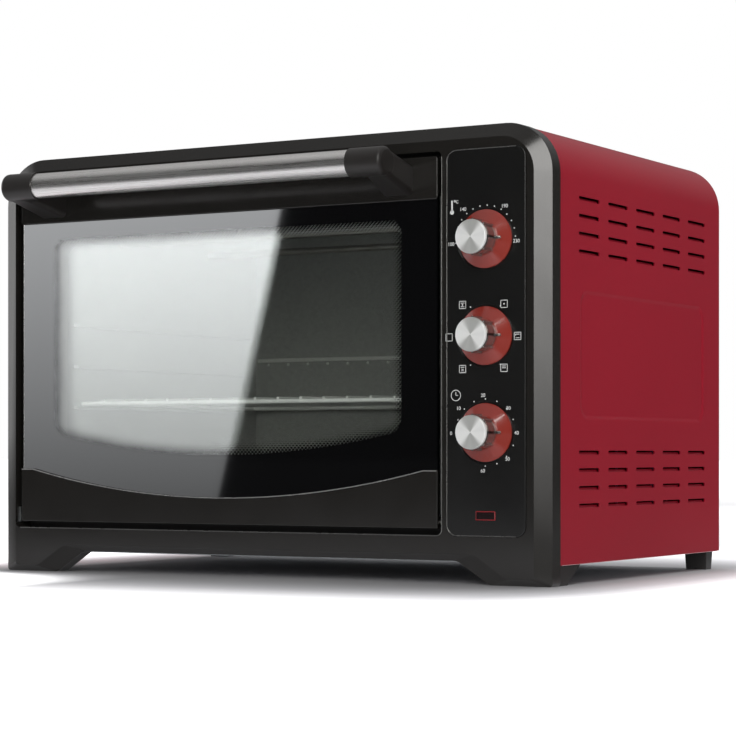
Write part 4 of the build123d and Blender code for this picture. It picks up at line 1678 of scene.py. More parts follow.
@dataclass
class DialPrint:
    """The figures, dots and signs printed on the control plate."""

    x: float
    plane_y: float
    temperature_z: float
    function_z: float
    timer_z: float
    lift: float = 0.05 * MM
    figure: float = 2.9 * MM
    sign: float = 6.0 * MM
    sign_dot: float = 0.7 * MM

    def build(self, palette: Palette) -> None:
        """Prints every sign with the same ink.

        Args:
            palette: The oven's finishes.
        """
        ink = palette["light_grey_ink"]
        front = self.plane_y - self.lift
        # Each ring's height, its first dot's angle, the step between dots and their count
        rings = {
            "temperature_dots": (self.temperature_z, -95.0, 14.08, 14),
            "function_dots": (self.function_z, -30.0, 60.0, 6),
            "timer_dots": (self.timer_z, -90.0, 22.5, 13),
        }
        for name, (z, first, step, count) in rings.items():
            dots = DialDots(name, Vector((self.x, front, z)), first, step, count).build(ink)
            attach(dots, "housing")
        sheet = Print(front)
        self.figures(sheet)
        self.signs(sheet)
        self.thermometer(sheet)
        self.clock(sheet)
        sheet.piece("dial_print", ink, "housing")

    def figures(self, sheet: Print) -> None:
        """Prints the degrees and the minutes, placed in millimetres from their dial's middle.

        Args:
            sheet: The print that the signs go on.
        """
        degrees = {
            "100": (-32.1, -3.2),
            "140": (-20.9, 25.3),
            "190": (17.7, 26.1),
            "230": (28.5, -3.1),
        }
        minutes = {
            "0": (-32.1, -0.6),
            "10": (-25.1, 20.1),
            "20": (-2.2, 30.6),
            "30": (21.3, 19.8),
            "40": (28.7, -0.5),
            "50": (20.4, -21.8),
            "60": (-2.4, -31.7),
        }
        for marks, z in ((degrees, self.temperature_z), (minutes, self.timer_z)):
            for text, (dx, dz) in marks.items():
                sheet.words(text, (self.x + dx * MM, z + dz * MM), self.figure)

    def signs(self, sheet: Print) -> None:
        """Prints the six cooking signs: which element works, and what turns or lights.

        Args:
            sheet: The print that the signs go on.
        """
        places = {
            "both_dot": (-21.3, 26.0),
            "dot": (17.2, 25.7),
            "both": (29.6, -1.0),
            "top": (17.2, -26.8),
            "cross": (-21.3, -27.1),
            "off": (-34.0, -0.6),
        }
        reach = self.sign / 4
        for kind, (dx, dz) in places.items():
            x, z = self.x + dx * MM, self.function_z + dz * MM
            sheet.box((x, z), self.sign, self.sign)
            if kind in ("both_dot", "both", "top", "cross"):
                sheet.bar((x - reach, z + reach), (x + reach, z + reach))
            if kind in ("both_dot", "both"):
                sheet.bar((x - reach, z - reach), (x + reach, z - reach))
            if kind == "top":
                sheet.bar((x - reach, z), (x + reach, z))
            if kind in ("both_dot", "dot"):
                sheet.disc((x, z), self.sign_dot)
            if kind == "cross":
                sheet.bar((x - reach / 2, z - reach), (x + reach / 2, z))
                sheet.bar((x + reach / 2, z - reach), (x - reach / 2, z))

    def thermometer(self, sheet: Print) -> None:
        """Prints the thermometer with its small degree mark.

        Args:
            sheet: The print that the signs go on.
        """
        x, z = self.x - 30.3 * MM, self.temperature_z + 27.9 * MM
        stem = x - 0.9 * MM
        bulb_radius, stem_width, mark_radius, letter = 1.9 * MM, 1.5 * MM, 0.7 * MM, 2.6 * MM
        sheet.disc((stem, z - 4.6 * MM), bulb_radius)
        sheet.bar((stem, z - 3.0 * MM), (stem, z + 4.4 * MM), stem_width)
        sheet.ring((x + 1.7 * MM, z + 4.6 * MM), mark_radius, 14)
        sheet.words("C", (x + 3.9 * MM, z + 3.8 * MM), letter)

    def clock(self, sheet: Print) -> None:
        """Prints the clock over the timer.

        Args:
            sheet: The print that the signs go on.
        """
        x, z = self.x - 27.6 * MM, self.timer_z + 30.9 * MM
        face_radius, long_hand, short_hand = 4.4 * MM, 2.6 * MM, 1.8 * MM
        sheet.ring((x, z), face_radius, 40)
        sheet.bar((x, z), (x, z + long_hand))
        sheet.bar((x, z), (x + short_hand, z))


@dataclass
class Case:
    """The red wrap, the base, the rear cover and the feet."""

    edge_mm: float = 0.42
    foot_edge_mm: float = 0.7
    cover_edge_mm: float = 0.3
    gland_edge_mm: float = 0.4
    base_edge_mm: float = 0.2
    slot_columns: int = 5
    slot_rows: int = 4
    slot_pitch_y: float = 58.5 * MM
    slot_pitch_z: float = 14.8 * MM
    upper_z: float = 299.7 * MM
    lower_z: float = 87.5 * MM
    flap_depth: float = 1.9 * MM
    flap_drop: float = 1.9 * MM
    panel_slope: float = 4.5 * MM
    panel_depth: float = 1.0 * MM
    panel_reach: float = 75.0 * MM
    panel_steps: int = 7
    # The pale beads along the hem paint the table's reflection
    hem_line_radius: float = 0.4 * MM
    hem_line_inset: float = 0.45 * MM
    hem_line_margin: float = 4.0 * MM

    def build(self, palette: Palette) -> None:
        """Makes the case and everything screwed to it.

        Args:
            palette: The oven's finishes.
        """
        soften_node(
            "outer_case", palette["red_case_enamel"], self.edge_mm, shape=self.pressed_wrap()
        )
        for node in ("front_feet", "rear_feet"):
            soften_node(node, palette["foot_black_abs"], self.foot_edge_mm)
        soften_node("rear_cover", palette["black_cover_enamel"], self.cover_edge_mm)
        soften_node("cord_gland", palette["foot_black_abs"], self.gland_edge_mm)
        soften_node("base_plate", palette["zinc_dipped_sheet"], self.base_edge_mm)
        self.hem_reflection_lines(palette["bare_cut_steel"])
        self.louvres(palette["red_case_enamel"])
        self.screws(palette["zinc_screw_plate"])

    def pressed_wrap(self) -> BMesh:
        """Reworks the wrap so that the raised panels rise by a soft pressed slope.

        Returns:
            The wrap's shape.
        """
        shape = merged_copy("outer_case")
        low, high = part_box("outer_case")
        near = 0.05 * MM
        for side in Side:
            skin = high.x if side is Side.RIGHT else low.x
            floor = skin - side.value * self.panel_depth
            steps = [
                edge
                for edge in shape.edges
                if {round((v.co.x - skin) / near) for v in edge.verts}
                == {0, round((floor - skin) / near)}
                and (edge.verts[0].co - edge.verts[1].co).yz.length < near
                and abs(edge.verts[0].co.z - (self.upper_z + self.lower_z) / 2) < self.panel_reach
            ]
            inner = {min(e.verts, key=lambda v: abs(v.co.x - floor)) for e in steps}
            if not inner:
                continue
            ends = [Vector(f(v.co[i] for v in inner) for i in (1, 2)) for f in (min, max)]
            middle, half = (ends[0] + ends[1]) / 2, (ends[1] - ends[0]) / 2
            for dot in inner:
                for axis in (0, 1):
                    offset = dot.co[axis + 1] - middle[axis]
                    dot.co[axis + 1] = middle[axis] + offset * (1 - self.panel_slope / half[axis])
            cut = bmesh.ops.subdivide_edges(
                shape, edges=steps, cuts=self.panel_steps, use_grid_fill=True
            )
            for dot in {v for v in cut["geom_inner"] if isinstance(v, BMVert)}:
                share = (dot.co.x - skin) / (floor - skin)
                dot.co.x = skin + (floor - skin) * share * share * (3 - 2 * share)
            LOG.info("pressed the %s panel with %d steps", side.name.lower(), len(steps))
        return shape

    def hem_reflection_lines(self, material: Material) -> None:
        """Draws a pale painted reflection line under both sides, where the hem's bottom edge
        catches the light of the table.

        Args:
            material: The finish.
        """
        low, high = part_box("outer_case")
        for side in Side:
            skin = (high.x if side is Side.RIGHT else low.x) - side.value * self.hem_line_inset
            ends = (low.y + self.hem_line_margin, high.y - self.hem_line_margin)
            path = [Vector((skin, y, low.z)) for y in ends]
            name = f"case_cut_edge_{side.name.lower()}"
            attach(EdgeBead(name, path, self.hem_line_radius).build(material), "housing")

    def louvres(self, material: Material) -> None:
        """Makes the flaps behind the slots of both sides.

        Args:
            material: The finish.
        """
        low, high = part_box("outer_case")
        middle_y = low.y + 0.5 * (high.y - low.y)
        for side in Side:
            wall = (high.x if side is Side.RIGHT else low.x) - side.value * self.flap_depth
            seats = [
                Vector(
                    (
                        wall,
                        middle_y + self.slot_pitch_y * (c - (self.slot_columns - 1) / 2),
                        group + self.slot_pitch_z * (r - (self.slot_rows - 1) / 2) - self.flap_drop,
                    )
                )
                for group in (self.upper_z, self.lower_z)
                for c in range(self.slot_columns)
                for r in range(self.slot_rows)
            ]
            name = f"slot_flaps_{side.name.lower()}"
            flaps = SlotLouvres(name, seats, side).build(material)
            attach(flaps, "housing")

    def screws(self, material: Material) -> None:
        """Makes the screws of the rear cover and of the feet, each on its own seat.

        Args:
            material: The finish.
        """
        for node, outward in (("rear_screws", (0, 1, 0)), ("foot_screws", (0, 0, 1))):
            seats = screw_seats(node, Vector(outward))
            made = PanScrews(node + "_cross_recess", seats, outward).build(material)
            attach(made, "housing")
            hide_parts(node)


def screw_seats(node: str, outward: Vector, head_height: float = 2.2 * MM) -> list[Vector]:
    """Finds where the heads of a group of screws sit.

    Args:
        node: The group's node.
        outward: The way their heads point.
        head_height: How far each head stands up.

    Returns:
        One seat under the middle of each head.
    """
    shape = bmesh.new()
    shape.from_mesh(frame["nodes"][node].data)
    bmesh.ops.remove_doubles(shape, verts=shape.verts, dist=JOIN_WITHIN)
    left, seats = set(shape.verts), []
    while left:
        group, queue = [], [left.pop()]
        while queue:
            dot = queue.pop()
            group.append(dot.co.copy())
            for edge in dot.link_edges:
                other = edge.other_vert(dot)
                if other in left:
                    left.remove(other)
                    queue.append(other)
        top = max(co.dot(outward) for co in group)
        rim = [co for co in group if top - co.dot(outward) < RIM_WITHIN]
        low = [min(co[i] for co in rim) for i in range(3)]
        high = [max(co[i] for co in rim) for i in range(3)]
        middle = (Vector(low) + Vector(high)) / 2
        seats.append(middle - outward * head_height)
    shape.free()
    return sorted(seats, key=tuple)


@dataclass
class Cavity:
    """The steel box that cooks, with its elements, rack and lamp."""

    rib_height: float = 206.0 * MM
    rib_margin: float = 3.0 * MM
    sheet_edge_mm: float = 0.3
    bush_edge_mm: float = 0.4
    holder_edge_mm: float = 0.8
    edge_steps: int = 2

    def build(self, palette: Palette) -> None:
        """Dresses the walls and what hangs in them.

        Args:
            palette: The oven's finishes.
        """
        sheet = palette["aluminised_cavity_sheet"]
        walls = ("left_wall", "right_wall", "floor", "ceiling", "back_wall")
        for node in walls:
            finish = palette["dulled_floor_sheet"] if node == "floor" else sheet
            soften_node("cavity_" + node, finish, self.sheet_edge_mm, self.edge_steps)
        # The front panel only shows in the gap under the door; its black enamel is painted shade
        # that keeps the gap dark
        coat = palette["black_cover_enamel"]
        soften_node("front_panel", coat, self.sheet_edge_mm, self.edge_steps)
        for node in ("heat_shield", "cavity_supports"):
            soften_node(node, palette["zinc_dipped_sheet"], SMOOTH_ONLY)
        tube, bush = palette["heat_darkened_steel"], palette["white_steatite"]
        for level in ("lower", "upper"):
            for place in ("front", "rear"):
                node = f"{level}_element_{place}"
                soften_node(node, tube, self.sheet_edge_mm, self.edge_steps)
        soften_node("element_insulators", bush, self.bush_edge_mm, self.edge_steps)
        soften_node("oven_lamp_holder", bush, self.holder_edge_mm)
        soften_node("oven_lamp_glass", palette["lamp_pressed_glass"], SMOOTH_ONLY)
        soften_node("wire_rack", palette["rack_chrome"], SMOOTH_ONLY)
        self.back_rib(palette["pressed_rib_sheet"])

    def back_rib(self, material: Material) -> None:
        """Makes the pressed rib across the back wall, with its row of pips; its finish is whiter
        than the wall's sheet, a painted highlight.

        Args:
            material: The finish.
        """
        low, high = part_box("cavity_back_wall")
        left, right = low.x + self.rib_margin, high.x - self.rib_margin
        rib = BackRib("back_wall_rib", left, right, low.y, self.rib_height)
        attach(rib.build(material), "housing")


@dataclass
class Controls:
    """The switch gear behind the control plate."""

    edge_mm: float = 0.8
    bell_edge_mm: float = 0.3
    bracket_edge_mm: float = 0.2

    def build(self, palette: Palette) -> None:
        """Dresses the switches, the timer's bell, the wires and the block.

        Args:
            palette: The oven's finishes.
        """
        for node in ("thermostat_body", "selector_switch", "timer_body"):
            soften_node(node, palette["inner_black_phenolic"], self.edge_mm)
        soften_node("timer_bell", palette["zinc_screw_plate"], self.bell_edge_mm)
        dress_node("control_screws", palette["zinc_screw_plate"])
        soften_node("terminal_block", palette["terminal_white_nylon"], self.edge_mm)
        soften_node("wiring", palette["blue_wire_pvc"], SMOOTH_ONLY)
        sheet = palette["zinc_dipped_sheet"]
        for side in ("left", "right"):
            soften_node("hinge_bracket_" + side, sheet, self.bracket_edge_mm, 2)


@dataclass
class Door:
    """The drop-down door: two rails, two panes, a pressed frame and the bar handle."""

    rail_edge_mm: float = 0.6
    end_edge_mm: float = 1.6
    frame_edge_mm: float = 0.3
    bead_radius: float = 0.5 * MM
    bead_forward: float = 0.05 * MM
    bead_over: float = 0.45 * MM
    curve_over: float = 12.0 * MM
    glass_edge_radius: float = 0.4 * MM
    glass_edge_inset: Point = (0.2 * MM, 0.3 * MM)
    window_shift_mm: float = 0.8
    screw_seat: float = 1.2 * MM
    screw_head: float = 1.1 * MM
    screw_recess: float = 0.8 * MM

    def glass_edge(self, material: Material) -> None:
        """Draws a painted highlight line along the ground edge of the outer pane, on the left.

        Args:
            material: The finish.
        """
        low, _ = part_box("door_glass")
        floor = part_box("door_bottom_rail")[1].z
        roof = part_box("door_top_rail")[0].z
        inward, backward = self.glass_edge_inset
        path = [Vector((low.x + inward, low.y + backward, z)) for z in (floor, roof)]
        bead = EdgeBead("glass_ground_edge", path, self.glass_edge_radius).build(material)
        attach(bead, "door")

    def rail_bead(self, material: Material) -> None:
        """Lays a painted highlight line along the curved top edge of the bottom rail.

        Args:
            material: The finish.
        """
        shape = merged_copy("door_bottom_rail")
        face = max(
            (f for f in shape.faces if f.normal.y < -0.999), key=lambda f: f.calc_area()
        )
        floor = min(v.co.z for v in face.verts)
        lift = Vector((0.0, -self.bead_forward, self.bead_over))
        curve = floor + self.curve_over
        path = sorted((v.co + lift for v in face.verts if v.co.z > curve), key=lambda c: c.x)
        shape.free()
        bead = EdgeBead("rail_foil_line", path, self.bead_radius).build(material)
        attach(bead, "door")

    def build(self, palette: Palette) -> None:
        """Makes the door's pieces.

        Args:
            palette: The oven's finishes.
        """
        self.rail_bead(palette["hot_foil_line"])
        self.glass_edge(palette["hot_foil_line"])
        black = palette["satin_black_abs"]
        soften_node("door_bottom_rail", black, self.rail_edge_mm)
        soften_node("door_top_rail", black, self.rail_edge_mm)
        self.outer_glass(palette)
        sheet = palette["aluminised_cavity_sheet"]
        soften_node("door_inner_frame", sheet, self.frame_edge_mm, 2)
        soften_node("door_inner_glass", palette["oven_inner_glass"], SMOOTH_ONLY)
        dress_node("hinge_pins", palette["zinc_screw_plate"])
        soften_node("handle_bar", palette["handle_brushed_steel"], SMOOTH_ONLY)
        for side in ("left", "right"):
            soften_node(
                "handle_end_" + side, palette["grained_black_abs"], self.end_edge_mm, 4
            )
        seats = screw_seats("handle_screws", Vector((0, 1, 0)), self.screw_seat)
        screws = PanScrews(
            "handle_screws_cross_recess",
            seats,
            (0, 1, 0),
            head_height=self.screw_head,
            recess_depth=self.screw_recess,
        ).build(palette["zinc_screw_plate"])
        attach(screws, "door")
        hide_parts("handle_screws")

    def outer_glass(self, palette: Palette) -> None:
        """Makes the printed outer pane.

        Args:
            palette: The oven's finishes.
        """
        low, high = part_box("door_glass")
        palette.mix(
            PrintedGlass(
                "printed_door_glass",
                ink="#050506",
                tint="#fafbfa",
                centre_mm=(low.x + high.x) / 2 / MM + self.window_shift_mm,
                half_width_mm=184.5,
                top_mm=306.5,
                low_mm=107.5,
                arc_radius_mm=850.0,
                corner_mm=12.0,
                fade_mm=13.0,
                dot_pitch_mm=2.6,
            )
        )
        soften_node("door_glass", palette["printed_door_glass"], SMOOTH_ONLY)


@dataclass
class Dial:
    """One dial: red skirt, bright ribbed drum, turned cap and steel shaft."""

    name: str
    fan_turn: float
    moulded_edge_mm: float = 0.25
    metal_edge_mm: float = 0.2

    def build(self, palette: Palette) -> None:
        """Makes the dial's four pieces.

        Args:
            palette: The oven's finishes.
        """
        low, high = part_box(self.name + "_knob_cap")
        centre = ((low.x + high.x) / 2, low.y, (low.z + high.z) / 2)
        finish = f"spun_aluminium_{self.name}"
        drum = f"pointer_drum_{self.name}"
        palette.mix(
            SpunAluminium(finish, centre, self.fan_turn), PointerDrum(drum, centre)
        )
        moulded, metal = self.moulded_edge_mm, self.metal_edge_mm
        soften_node(self.name + "_knob_skirt", palette["gloss_red_abs"], moulded)
        soften_node(self.name + "_knob_body", palette[drum], moulded, 2)
        soften_node(self.name + "_knob_cap", palette[finish], metal)
        soften_node(self.name + "_knob_shaft", palette["zinc_screw_plate"], metal, 2)


# Studio


@dataclass
class SoftBox:
    """One soft box: a flat lit face whose light can grow with height."""

    name: str
    centre: tuple[float, float, float]
    facing: tuple[float, float, float]
    width: float
    height: float
    low_level: float
    level_per_metre: float = 0.0
    lean_deg: float = 0.0
    colour: tuple[float, float, float, float] = (1.0, 1.0, 1.0, 1.0)
    mirrored: bool = True
    most_level: float = 8.0
    only_on: tuple[str, ...] = ()

    def build(self) -> None:
        """Hangs the box, out of the camera's sight."""
        data = bpy.data.lights.new(self.name, "AREA")
        data.shape, data.size, data.size_y = "RECTANGLE", self.width, self.height
        data.energy = math.pi * self.width * self.height
        data.use_nodes = True
        tree = data.node_tree
        glow = tree.nodes["Emission"]
        glow.inputs["Color"].default_value = self.colour
        place = add_node(tree, "ShaderNodeNewGeometry").outputs["Position"]
        axes = add_node(tree, "ShaderNodeSeparateXYZ", {0: place})
        level = add_node(
            tree,
            "ShaderNodeMath",
            {0: axes.outputs[2], 1: self.level_per_metre, 2: self.low_level},
            operation="MULTIPLY_ADD",
        )
        held = add_node(tree, "ShaderNodeMath", {0: level, 1: self.most_level}, operation="MINIMUM")
        tree.links.new(held.outputs[0], glow.inputs["Strength"])
        lamp = bpy.data.objects.new(self.name, data)
        bpy.context.collection.objects.link(lamp)
        turn = Vector(self.facing).to_track_quat("-Z", "Y").to_matrix().to_4x4()
        lean = Matrix.Rotation(math.radians(self.lean_deg), 4, "Z")
        lamp.matrix_world = Matrix.Translation(self.centre) @ turn @ lean
        lamp.visible_camera = False
        lamp.visible_glossy = self.mirrored
        if self.only_on:
            reach = bpy.data.collections.new(self.name + "_reach")
            for name in self.only_on:
                reach.objects.link(bpy.data.objects[name])
            lamp.light_linking.receiver_collection = reach


@dataclass
class Studio:
    """The white table, the surrounding light and the camera of the photograph."""

    lens_mm: float = 113.68
    sensor_mm: float = 36.0
    shift_up: float = 0.11574
    yaw_deg: float = 30.4138
    camera_place: tuple[float, float, float] = (1.11015, -1.8579, 0.1092)
    floor_reach: float = 30.0
    footprint: tuple[Point, Point] = ((-0.28, -0.158), (0.28, 0.21))
    fibre_mm: float = METRE / 300
    # Where the table starts and ends to fade in mirrors: all round, and on the right, where the
    # dark is painted shade beside the oven
    fade_round: Point = (0.6, 1.4)
    fade_right: Point = (0.27, 0.34)
    faded_tone: float = 0.12
    # Painted shade: how dark the table is at the oven's foot, how soon it is light again,
    # and how dark the painted shadow band behind the oven is
    painted_shade_tone: float = 0.42
    painted_shade_reach: float = 0.08
    painted_band_tone: float = 0.8
    # Where the table starts and ends to turn white, and how white the painted shadow band turns
    glow_edge: Point = (0.05, 0.15)
    painted_band_glow: float = 0.25
    # The light that mirrors get from the room at least, and the light on the oven
    least_mirrored: float = 0.04
    room_level: float = 0.28
    # Where the part of the room behind the oven starts and ends to show in mirrors
    rear_edge: Point = (0.0, 0.4)

    def build(self) -> None:
        """Sets the table, the light and the camera."""
        self.table()
        self.world()
        for lamp in self.lamps():
            lamp.build()
        self.camera()
        bpy.context.scene.view_settings.view_transform = "Standard"

    def lamps(self) -> list[SoftBox]:
        """Lists the soft boxes.

        Returns:
            The two that mirrors show, and the four that they don't.
        """
        cool, warm = (0.96, 0.98, 1.0, 1.0), (1.0, 0.985, 0.96, 1.0)
        forward = (0.0, 1.0, 0.0)
        return [
            SoftBox(
                "glare_box",
                centre=(-1.867, -2.4055, 0.361),
                facing=forward,
                width=0.75,
                height=0.75,
                low_level=2.0,
                level_per_metre=9.6,
                lean_deg=-14.56,
                colour=cool,
                only_on=("door_glass_softened", "door_inner_glass_softened"),
            ),
            SoftBox(
                "camera_box",
                centre=(1.05, -2.6, 1.2),
                facing=forward,
                width=0.8,
                height=2.4,
                low_level=0.5,
                level_per_metre=11.0,
                colour=warm,
            ),
        ] + [
            SoftBox(name, centre, facing, width, height, level, mirrored=False)
            for name, centre, facing, width, height, level in (
                ("over_box", (0.1, 0.8, 2.2), (0.0, -0.35, -1.0), 2.6, 1.0, 4.3),
                ("right_box", (1.9, -0.95, 0.3), (-1.0, 0.5, 0.0), 0.9, 0.5, 6.6),
                ("rear_box", (0.4, 2.6, 0.9), (0.0, -1.0, -0.2), 1.8, 0.8, 5.0),
                ("left_box", (-1.9, -0.4, 0.4), (1.0, 0.2, -0.05), 0.8, 0.6, 5.0),
            )
        ]

    def camera(self) -> None:
        """Stands the camera where the photograph was taken, level, turned to the oven."""
        data = bpy.data.cameras.new("photo_camera")
        data.lens, data.sensor_width = self.lens_mm, self.sensor_mm
        data.shift_y = self.shift_up
        data.clip_end = 100.0
        camera = bpy.data.objects.new("photo_camera", data)
        bpy.context.collection.objects.link(camera)
        camera.location = self.camera_place
        camera.rotation_euler = (math.pi / 2, 0.0, math.radians(self.yaw_deg))
        bpy.context.scene.camera = camera

    def table(self) -> None:
        """Makes the white table: it keeps the oven's shadow, adds painted shade round its foot and
        behind it, and fades out in mirrors.
        """
        reach = self.floor_reach
        mesh = bpy.data.meshes.new("table_top")
        corners = [(-reach, -reach, 0), (reach, -reach, 0), (reach, reach, 0), (-reach, reach, 0)]
        mesh.from_pydata(corners, [], [(0, 1, 2, 3)])
        floor = new_piece("table_top", mesh)
        material, tree, shader = new_surface("white_paper_sweep", {"Roughness": 0.9})
        place = object_place(tree)
        path = add_node(tree, "ShaderNodeLightPath")
        beside, behind = self.floor_zones(tree, place)
        tone = self.table_tone(tree, place, path, beside, behind)
        start, end = self.glow_edge
        open_floor = add_node(
            tree,
            "ShaderNodeMapRange",
            {"Value": beside, 1: start, 2: end},
            interpolation_type="SMOOTHSTEP",
        )
        # The painted shadow band turns less white to the eye
        clear = add_node(tree, "ShaderNodeMapRange", {"Value": behind, 3: 1.0, 4: self.painted_band_glow})
        white = add_node(tree, "ShaderNodeMath", {0: open_floor, 1: clear}, operation="MULTIPLY")
        eye = path.outputs["Is Camera Ray"]
        glow = add_node(tree, "ShaderNodeMath", {0: eye, 1: white}, operation="MULTIPLY")
        tree.links.new(tone.outputs[2], shader.inputs["Base Color"])
        shader.inputs["Emission Color"].default_value = (1, 1, 1, 1)
        tree.links.new(glow.outputs[0], shader.inputs["Emission Strength"])
        give_finish(floor, material)

    def table_tone(
        self,
        tree: NodeTree,
        place: NodeSocket,
        path: Node,
        beside: NodeSocket,
        behind: NodeSocket,
    ) -> Node:
        """Adds the table's tone: paper, with painted shade at the oven's foot and in a band behind
        it, and dim in mirrors.

        Args:
            tree: The table's nodes.
            place: The point's coordinates.
            path: The kind of ray.
            beside: The distance from the oven.
            behind: The mask of the painted shadow band behind the oven.

        Returns:
            The colour mix.
        """
        fibre = add_node(
            tree, "ShaderNodeTexNoise", {"Vector": place, "Scale": METRE / self.fibre_mm}
        )
        paper = add_node(
            tree,
            "ShaderNodeMix",
            {0: fibre, MIX_A: linear("#f6f5f8"), MIX_B: linear("#f2f1f5")},
            data_type="RGBA",
        )
        # Painted shade at the oven's foot and a painted shadow band behind the oven, which only the
        # eye sees
        contact = add_node(
            tree,
            "ShaderNodeMapRange",
            {"Value": beside, 1: 0.0, 2: self.painted_shade_reach, 3: self.painted_shade_tone, 4: 1.0},
            interpolation_type="SMOOTHSTEP",
        )
        band = add_node(tree, "ShaderNodeMapRange", {"Value": behind, 3: 1.0, 4: self.painted_band_tone})
        light = add_node(tree, "ShaderNodeMath", {0: contact, 1: band}, operation="MULTIPLY")
        shade = add_node(tree, "ShaderNodeMath", {0: 1.0, 1: light}, operation="SUBTRACT")
        eye = path.outputs["Is Camera Ray"]
        shaded = add_node(tree, "ShaderNodeMath", {0: eye, 1: shade}, operation="MULTIPLY")
        away = add_node(tree, "ShaderNodeVectorMath", {0: place}, operation="LENGTH")
        start, end = self.fade_round
        fade = add_node(
            tree,
            "ShaderNodeMapRange",
            {"Value": away.outputs["Value"], 1: start, 2: end, 3: 0.0, 4: 1.0},
            interpolation_type="SMOOTHSTEP",
        )
        axes = add_node(tree, "ShaderNodeSeparateXYZ", {0: place})
        start, end = self.fade_right
        right = add_node(tree, "ShaderNodeMapRange", {"Value": axes.outputs[0], 1: start, 2: end})
        far = add_node(tree, "ShaderNodeMath", {0: fade, 1: right}, operation="MAXIMUM")
        mirror = path.outputs["Is Glossy Ray"]
        dim = add_node(tree, "ShaderNodeMath", {0: mirror, 1: far}, operation="MULTIPLY")
        seen = add_node(
            tree,
            "ShaderNodeMix",
            {0: shaded, MIX_A: paper.outputs[2], MIX_B: (0.0, 0.0, 0.0, 1)},
            data_type="RGBA",
        )
        faded = (self.faded_tone, self.faded_tone, self.faded_tone, 1)
        return add_node(
            tree, "ShaderNodeMix", {0: dim, MIX_A: seen.outputs[2], MIX_B: faded}, data_type="RGBA"
        )

    def floor_zones(self, tree: NodeTree, place: NodeSocket) -> tuple[NodeSocket, NodeSocket]:
        """Measures the table: how far a point is from the oven, and the painted shadow band behind
        it.

        Args:
            tree: The table's nodes.
            place: The point's coordinates.

        Returns:
            The distance from the oven's footprint, with less than half of it counted in
            front on the right, and a mask that is 1 in the painted shadow band behind the oven.
        """
        low, high = self.footprint
        middle = ((low[0] + high[0]) / 2, (low[1] + high[1]) / 2, 0.0)
        half = ((high[0] - low[0]) / 2, (high[1] - low[1]) / 2, 0.0)
        moved = add_node(tree, "ShaderNodeVectorMath", {0: place, 1: middle}, operation="SUBTRACT")
        folded = add_node(tree, "ShaderNodeVectorMath", {0: moved}, operation="ABSOLUTE")
        outside = add_node(tree, "ShaderNodeVectorMath", {0: folded, 1: half}, operation="SUBTRACT")
        clipped = add_node(
            tree, "ShaderNodeVectorMath", {0: outside, 1: (0, 0, 0)}, operation="MAXIMUM"
        )
        axes = add_node(tree, "ShaderNodeSeparateXYZ", {0: place})
        ahead = add_node(
            tree,
            "ShaderNodeMapRange",
            {"Value": axes.outputs[0], 1: -0.28, 2: -0.1, 3: 3.0, 4: 0.45},
        )
        weights = add_node(tree, "ShaderNodeCombineXYZ", {0: 1.0, 1: ahead, 2: 0.0})
        scaled = add_node(
            tree, "ShaderNodeVectorMath", {0: clipped, 1: weights}, operation="MULTIPLY"
        )
        beside = add_node(tree, "ShaderNodeVectorMath", {0: scaled}, operation="LENGTH")
        skew = add_node(
            tree,
            "ShaderNodeMath",
            {0: axes.outputs[1], 1: 0.25, 2: axes.outputs[0]},
            operation="MULTIPLY_ADD",
        )
        edges = [
            add_node(
                tree,
                "ShaderNodeMapRange",
                {"Value": value, 1: start, 2: end},
                interpolation_type="SMOOTHSTEP",
            )
            for value, start, end in (
                (axes.outputs[1], 0.2, 0.8),
                (axes.outputs[1], 4.6, 1.2),
                (axes.outputs[0], 1.2, 0.3),
                (skew, -0.9, -0.1),
            )
        ]
        behind = edges[0]
        for edge in edges[1:]:
            behind = add_node(tree, "ShaderNodeMath", {0: behind, 1: edge}, operation="MULTIPLY")
        return beside.outputs["Value"], behind.outputs[0]

    def world(self) -> None:
        """Lights the room: white to the eye, and in mirrors dim but for the left and above."""
        world = bpy.data.worlds.new("studio_room")
        bpy.context.scene.world = world
        world.use_nodes = True
        tree = world.node_tree
        tree.nodes.clear()
        way = add_node(tree, "ShaderNodeTexCoord").outputs["Generated"]
        axes = add_node(tree, "ShaderNodeSeparateXYZ", {0: way})
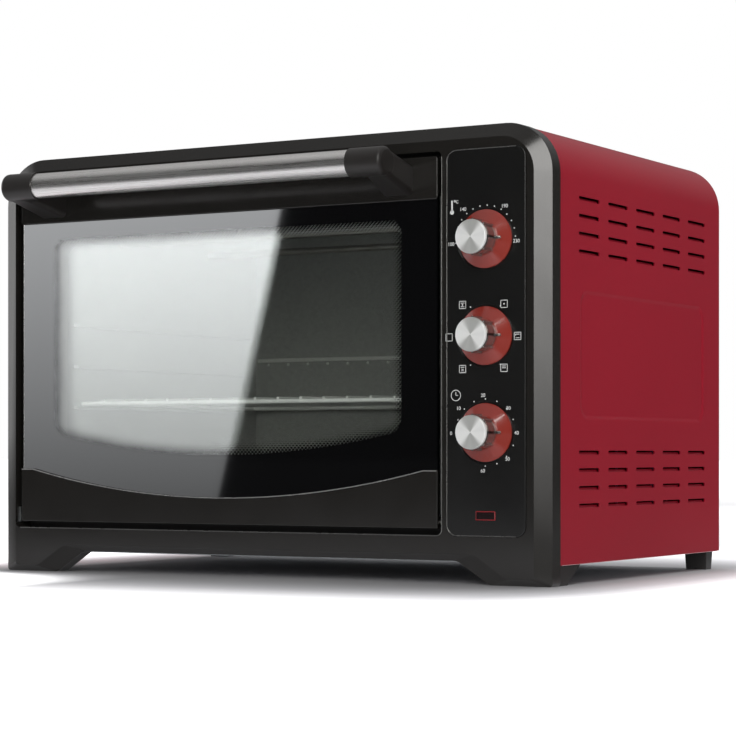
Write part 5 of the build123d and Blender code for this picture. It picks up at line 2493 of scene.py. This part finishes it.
        # Each span's axis, where it starts and ends on it, and its light there
        spans = {
            "behind": (axes.outputs[2], 0.16, 0.6, 0.03, 0.35),
            "above": (axes.outputs[2], 0.45, 0.95, 0.0, 0.5),
            "left": (axes.outputs[0], -0.72, -0.95, 0.0, 1.7),
        }
        parts = {
            name: add_node(
                tree,
                "ShaderNodeMapRange",
                {"Value": value, 1: start, 2: end, 3: low, 4: high},
            )
            for name, (value, start, end, low, high) in spans.items()
        }
        rear = add_node(
            tree,
            "ShaderNodeMapRange",
            {"Value": axes.outputs[1], 1: self.rear_edge[0], 2: self.rear_edge[1]},
            interpolation_type="SMOOTHSTEP",
        )
        back = add_node(tree, "ShaderNodeMath", {0: parts["behind"], 1: rear}, operation="MULTIPLY")
        most = add_node(tree, "ShaderNodeMath", {0: back, 1: parts["above"]}, operation="MAXIMUM")
        bright = add_node(tree, "ShaderNodeMath", {0: most, 1: parts["left"]}, operation="MAXIMUM")
        mirrored = add_node(
            tree, "ShaderNodeMath", {0: bright, 1: self.least_mirrored}, operation="ADD"
        )
        path = add_node(tree, "ShaderNodeLightPath")
        room = add_node(
            tree,
            "ShaderNodeBackground",
            {"Color": (0.96, 0.98, 1.0, 1.0), "Strength": self.room_level},
        )
        glass = add_node(
            tree, "ShaderNodeBackground", {"Color": (1, 1, 1, 1), "Strength": mirrored}
        )
        white = add_node(tree, "ShaderNodeBackground", {"Color": (1, 1, 1, 1), "Strength": 1.0})
        glossy = add_node(
            tree, "ShaderNodeMixShader", {0: path.outputs["Is Glossy Ray"], 1: room, 2: glass}
        )
        seen = add_node(
            tree,
            "ShaderNodeMath",
            {0: path.outputs["Is Camera Ray"], 1: path.outputs["Is Transmission Ray"]},
            operation="MAXIMUM",
        )
        whole = add_node(tree, "ShaderNodeMixShader", {0: seen, 1: glossy, 2: white})
        add_node(tree, "ShaderNodeOutputWorld", {"Surface": whole})


def main() -> None:
    """Dresses the whole oven and stands it in its studio."""
    logging.basicConfig(level=logging.INFO, format="%(message)s")
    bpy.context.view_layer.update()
    palette = mix_palette()
    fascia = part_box("control_fascia")[0]
    skirts = {name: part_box(name + "_knob_skirt") for name in FAN_TURNS}
    middles = {name: (low + high) / 2 for name, (low, high) in skirts.items()}
    FrontFrame().build(palette)
    DialPrint(
        middles["timer"].x,
        fascia.y,
        middles["temperature"].z,
        middles["function"].z,
        middles["timer"].z,
    ).build(palette)
    Case().build(palette)
    Cavity().build(palette)
    Controls().build(palette)
    Door().build(palette)
    for name, turn in FAN_TURNS.items():
        Dial(name, turn).build(palette)
    Studio().build()


if __name__ == "__main__":
    main()
